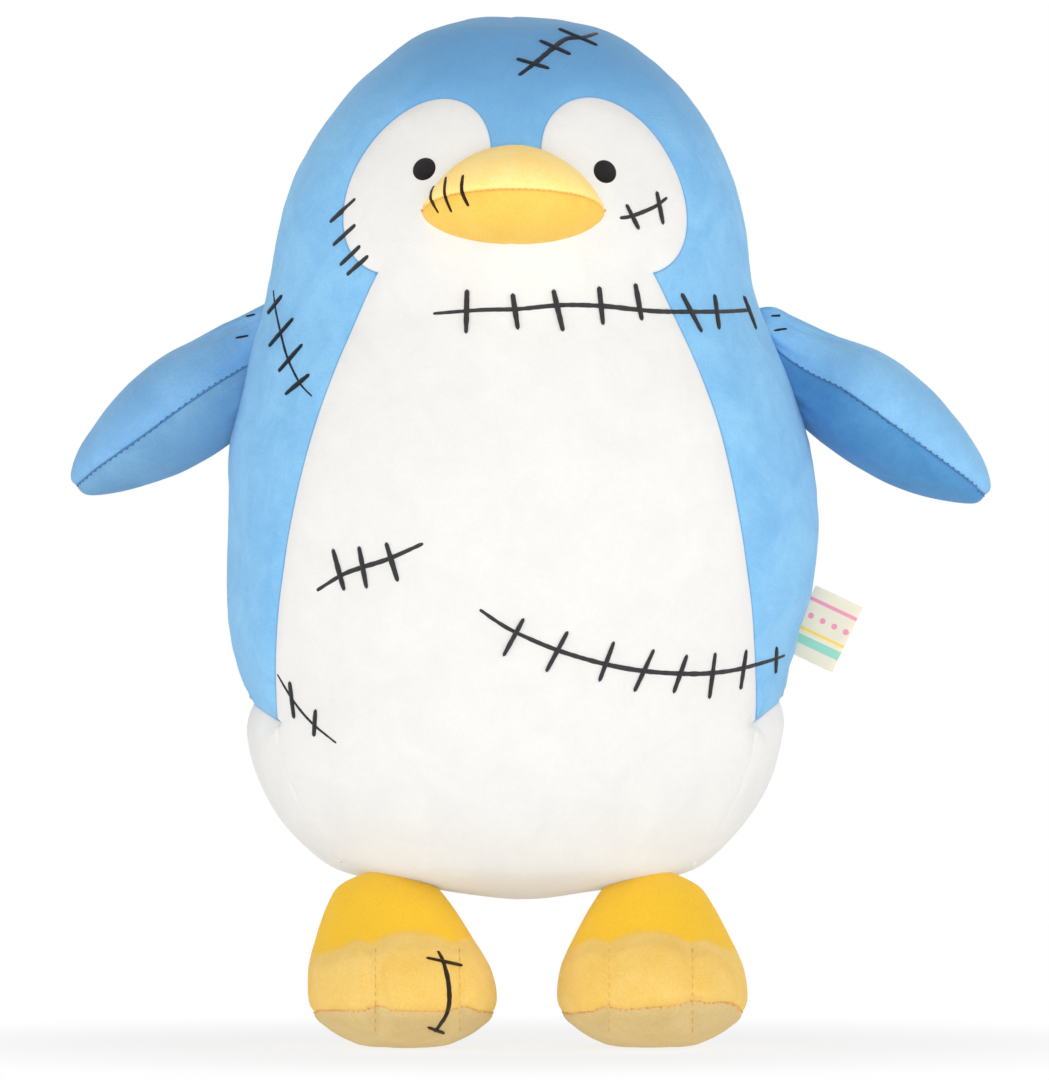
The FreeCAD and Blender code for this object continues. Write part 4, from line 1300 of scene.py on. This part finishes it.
def makePlush(name):
    cloth = {**plainPlush, **plushes[name]}
    material, tree, shader = newMaterial(name, Roughness=0.92, Specular_IOR_Level=0.2,
                                         Sheen_Weight=cloth["sheen"], Sheen_Roughness=0.45,
                                         Sheen_Tint=linearOf(*cloth["sheenTint"]))
    pile = addNode(tree, "ShaderNodeGroup", {"node_tree": pileGroup}, Depth=cloth["depth"])
    brushed = addNode(tree, "ShaderNodeMapRange", Value=pile.outputs["Patch"], From_Min=0.35, From_Max=0.68)
    colour = addMix(tree, brushed.outputs["Result"], linearOf(*cloth["dark"]), linearOf(*cloth["light"]))
    # painted shade: the mask mixes in the deeper shade colour over the crown and on the instep
    if cloth["shadeColour"]:
        paintedShade = addNode(tree, "ShaderNodeAttribute", {"attribute_name": "paintedShade"})
        colour = addMix(tree, paintedShade.outputs["Fac"], colour, linearOf(*cloth["shadeColour"]))
    darkFibre, lightFibre = cloth["fibre"]
    fibres = addNode(tree, "ShaderNodeMapRange", Value=pile.outputs["Fibre"], From_Min=0.3, From_Max=0.7,
                     To_Min=darkFibre, To_Max=lightFibre)
    colour = addMix(tree, 1.0, colour, fibres.outputs["Result"], blend_type="MULTIPLY")
    colour = addMix(tree, pile.outputs["Seam"], colour, linearOf(*cloth["seam"]))
    if cloth["pale"]:
        path = addNode(tree, "ShaderNodeLightPath")
        thrown = addMath(tree, "MULTIPLY", path.outputs["Is Diffuse Ray"], cloth["pale"])
        colour = addMix(tree, thrown, colour, linearOf(*paleBounce))
    # a painted glow: the cloth gives off light of its own, as strong as its glow
    giveNamed(shader, {"Base Color": colour, "Emission Color": colour, "Emission Strength": cloth["glow"],
                       "Normal": pile.outputs["Normal"]})
    return material


# the threads: colours of the strands, strands to a millimetre along the stroke, and roughness
threadKinds = {
    "greyThread": {"light": (80, 80, 82), "dark": (42, 42, 45), "pitch": 1.6, "roughness": 0.5},
    "inkThread": {"light": (50, 56, 68), "dark": (24, 28, 38), "pitch": 1.6, "roughness": 0.5},
    "blackThread": {"light": (34, 33, 33), "dark": (12, 12, 13), "pitch": 1.4, "roughness": 0.5},
    "brownThread": {"light": (66, 44, 28), "dark": (34, 22, 14), "pitch": 1.6, "roughness": 0.5},
    "navyThread": {"light": (70, 108, 154), "dark": (48, 78, 122), "pitch": 1.0, "roughness": 0.6},
    "amberThread": {"light": (248, 188, 100), "dark": (236, 166, 76), "pitch": 1.0, "roughness": 0.6},
}


def makeThread(name):
    # satin stitches laid square to the stroke
    kind = threadKinds[name]
    material, tree, shader = newMaterial(name, Roughness=kind["roughness"], Specular_IOR_Level=0.25)
    place = addNode(tree, "ShaderNodeUVMap", {"uv_map": "thread"})
    stretch = addNode(tree, "ShaderNodeMapping", Vector=place.outputs["UV"],
                      Scale=(kind["pitch"], 0.35, 1), Rotation=(0, 0, 0.12))
    strands = addNode(tree, "ShaderNodeTexWave", {"wave_type": "BANDS", "bands_direction": "X"},
                      Vector=stretch.outputs["Vector"], Scale=1.0, Distortion=0.7, Detail=2.0,
                      Detail_Scale=1.5)
    bump = addNode(tree, "ShaderNodeBump", Strength=0.7, Distance=0.0003, Height=strands.outputs["Fac"])
    colour = addMix(tree, strands.outputs["Fac"], linearOf(*kind["dark"]), linearOf(*kind["light"]))
    giveNamed(shader, {"Base Color": colour, "Normal": bump.outputs["Normal"]})
    return material


# the label's print, in mm along and across the ribbon
ribbonInks = {"cream": (238, 228, 203), "mint": (150, 214, 190), "pink": (240, 150, 178),
              "yellow": (250, 214, 96)}
ribbonBands = [("mint", 5.0, 8.5), ("yellow", 10.2, 11.4), ("pink", 22.0, 23.4)]
ribbonDots = {"halfPitch": 2.5, "start": 1.6, "across": 16.5, "radius": 1.15}


def makeRibbon():
    # woven cream ribbon with plain printed bands, and a row of dots between them
    material, tree, shader = newMaterial("ribbonPrint", Roughness=0.6, Sheen_Weight=0.1)
    inks = {name: linearOf(*ink) for name, ink in ribbonInks.items()}
    place = addNode(tree, "ShaderNodeUVMap", {"uv_map": "ribbon"}).outputs["UV"]
    split = addNode(tree, "ShaderNodeSeparateXYZ", Vector=place)
    along, across = split.outputs["X"], split.outputs["Y"]
    colour = inks["cream"]
    for ink, low, high in ribbonBands:
        inBand = addMath(tree, "MULTIPLY", addMath(tree, "GREATER_THAN", across, low),
                         addMath(tree, "LESS_THAN", across, high))
        colour = addMix(tree, inBand, colour, inks[ink])
    start = addMath(tree, "ADD", along, ribbonDots["start"])
    dotPlace = addNode(tree, "ShaderNodeCombineXYZ",
                       X=addMath(tree, "PINGPONG", start, ribbonDots["halfPitch"]),
                       Y=addMath(tree, "SUBTRACT", across, ribbonDots["across"]))
    fromDot = addNode(tree, "ShaderNodeVectorMath", {"operation": "LENGTH"},
                      Vector=dotPlace.outputs["Vector"])
    inDot = addMath(tree, "LESS_THAN", fromDot.outputs["Value"], ribbonDots["radius"])
    colour = addMix(tree, inDot, colour, inks["pink"])
    weave = addNode(tree, "ShaderNodeTexBrick", Vector=place, Scale=2.2)
    bump = addNode(tree, "ShaderNodeBump", Strength=0.25, Distance=0.0001, Height=weave.outputs["Fac"])
    giveNamed(shader, {"Base Color": colour, "Normal": bump.outputs["Normal"]})
    return material


cloths = {name: makePlush(name) for name in plushes}
threads = {name: makeThread(name) for name in threadKinds}
ribbonPrint = makeRibbon()


def dress(piece, material):
    piece.data.materials.clear()
    piece.data.materials.append(material)


for nodeName, piece in torsoPanels.items():
    isBlue = nodeName in ("hood_panel", "back_left_panel", "back_right_panel")
    dress(piece, cloths["bluePlush" if isBlue else "whitePlush"])
    nodes = [nodeName, "torso_filling"] if nodeName == "front_panel" else [nodeName]
    finishPiece(piece, "torso", nodes)

for name, piece in scarPieces.items():
    dress(piece, threads[scars[name].get("thread", "greyThread")])

for sideName, body in (("Left", "left wing"), ("Right", "right wing")):
    start = "wing_" + sideName.lower()
    sign = 1 if sideName == "Left" else -1
    hinge = Vector((sign * wing["hinge"][0], seamY, wing["hinge"][1]))
    droop = math.radians(wing["droop"])
    tipward = Vector((sign * math.cos(droop), 0, -math.sin(droop)))
    stitches = runStitches("wing" + sideName + "Stitches", wingSeams[sideName], wingPanels[sideName],
                           wing["stitch"], lambda point: (Vector(point) - hinge).dot(tipward) < 6 * mm)
    dress(stitches, threads["navyThread"])
    upper, lower = wingPanels[sideName]
    for piece, part, nodes in ((upper, "Upper", ["_upper_panel", "_filling"]),
                               (lower, "Lower", ["_lower_panel"])):
        dress(piece, cloths["wing" + part + "Plush" + sideName])
        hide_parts(*[start + node for node in nodes])
    for piece in wingPanels[sideName] + [stitches, scarPieces["root" + sideName]]:
        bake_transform(piece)

for sideName, body in (("Left", "left foot"), ("Right", "right foot")):
    start = "foot_" + sideName.lower()
    top, sole = footPanels[sideName]
    for piece, cloth, nodes in ((top, "yellowPlush", ["_top_panel", "_filling"]),
                                (sole, "solePlush", ["_sole_panel"])):
        dress(piece, cloths[cloth])
        finishPiece(piece, body, [start + node for node in nodes])
    stitches = runStitches("foot" + sideName + "Stitches", footSeams[sideName], footPanels[sideName],
                           foot["stitch"])
    for piece in (stitches, toeStitches[sideName]):
        dress(piece, threads["amberThread"])
        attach(piece, body)

dress(beakPanels[0], cloths["beakUpperPlush"])
dress(beakPanels[1], cloths["beakLowerPlush"])
finishPiece(beakPanels[0], "torso", ["beak_upper_panel", "beak_filling"])
finishPiece(beakPanels[1], "torso", ["beak_lower_panel"])
beakStitches = runStitches("beakStitches", beakSeam, beakPanels, beak["stitch"],
                           lambda point: point[1] > beak["stitchedTo"])
dress(beakStitches, threads["amberThread"])
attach(beakStitches, "torso")

for piece in eyes.values():
    dress(piece, threads["blackThread"])
dress(sideLabel, ribbonPrint)
print("materials on")


# floor, backdrop and light

white = (1, 1, 1, 1)
floorPaint = (0.86, 0.86, 0.86, 1)
floorLight = 0.6  # of its own, given back to the underside
roomColour = (1.0, 0.99, 0.975, 1)


def makeFloor():
    deselectAll()
    bpy.ops.mesh.primitive_plane_add(size=40, location=(0, 0, 0))
    floor = bpy.context.object
    floor.name = floor.data.name = "paleFloor"
    material = bpy.data.materials.new("paleFloor")
    material.use_nodes = True
    tree = material.node_tree
    tree.nodes.remove(tree.nodes["Principled BSDF"])
    paint = addNode(tree, "ShaderNodeBsdfDiffuse", Color=floorPaint)
    glow = addNode(tree, "ShaderNodeEmission", Color=white, Strength=1.0)
    # near the feet the floor shows their shadow, and further off it runs out to plain white
    place = addNode(tree, "ShaderNodeTexCoord").outputs["Object"]
    gap = addNode(tree, "ShaderNodeVectorMath", {"operation": "LENGTH"}, Vector=place)
    fade = addNode(tree, "ShaderNodeMapRange", {"interpolation_type": "SMOOTHSTEP"},
                   Value=gap.outputs["Value"], From_Min=0.1, From_Max=0.34, To_Min=0.7, To_Max=1.0)
    path = addNode(tree, "ShaderNodeLightPath")
    seen = addMath(tree, "MULTIPLY", path.outputs["Is Camera Ray"], fade.outputs["Result"])
    lit = addMath(tree, "MAXIMUM", seen, floorLight)
    mixed = mixShaders(tree, lit, paint.outputs[0], glow.outputs[0])
    give(tree.nodes["Material Output"].inputs["Surface"], mixed)
    floor.data.materials.append(material)


def makeWorld():
    world = bpy.data.worlds.new("paleRoom")
    bpy.context.scene.world = world
    world.use_nodes = True
    tree = world.node_tree
    # dimmer overhead than around
    place = addNode(tree, "ShaderNodeTexCoord").outputs["Generated"]
    split = addNode(tree, "ShaderNodeSeparateXYZ", Vector=place)
    strength = addNode(tree, "ShaderNodeMapRange", {"interpolation_type": "SMOOTHSTEP"},
                       Value=split.outputs["Z"], From_Min=0.1, From_Max=0.9, To_Min=0.565, To_Max=0.4)
    fill = tree.nodes["Background"]
    giveNamed(fill, {"Color": roomColour, "Strength": strength.outputs["Result"]})
    # the camera and shiny things see plain white
    seen = addNode(tree, "ShaderNodeBackground", Color=white, Strength=1.0)
    path = addNode(tree, "ShaderNodeLightPath")
    either = addMath(tree, "MAXIMUM", path.outputs["Is Camera Ray"], path.outputs["Is Glossy Ray"])
    mixed = mixShaders(tree, either, fill.outputs[0], seen.outputs[0])
    give(tree.nodes["World Output"].inputs["Surface"], mixed)


# square lamps: place and aim in metres, size in metres, and power in watts
lamps = {
    "frontLamp": ((-0.3, -2.7, 0.8), (0, 0, 0.18), 1.8, 13),
    "leftLamp": ((2.3, -1.1, 0.8), (0, 0, 0.2), 1.5, 21),
    "rightLamp": ((-2.3, -1.1, 0.4), (0, 0, 0.2), 1.5, 20),
    "lowLamp": ((0, -1.2, 0.05), (0, 0, 0.1), 0.7, 4.2),
    "backLamp": ((0.3, 2.4, 1.3), (0, 0, 0.25), 1.5, 16),
}


def makeLamp(name, place, aim, size, power):
    data = bpy.data.lights.new(name, "AREA")
    data.shape = "SQUARE"
    data.size = size
    data.energy = power
    lamp = bpy.data.objects.new(name, data)
    lamp.location = place
    lamp.rotation_euler = (Vector(aim) - Vector(place)).to_track_quat("-Z", "Y").to_euler()
    bpy.context.scene.collection.objects.link(lamp)


makeFloor()
makeWorld()
for name, settings in lamps.items():
    makeLamp(name, *settings)
bpy.context.scene.view_settings.view_transform = "Standard"
print("stage lit")
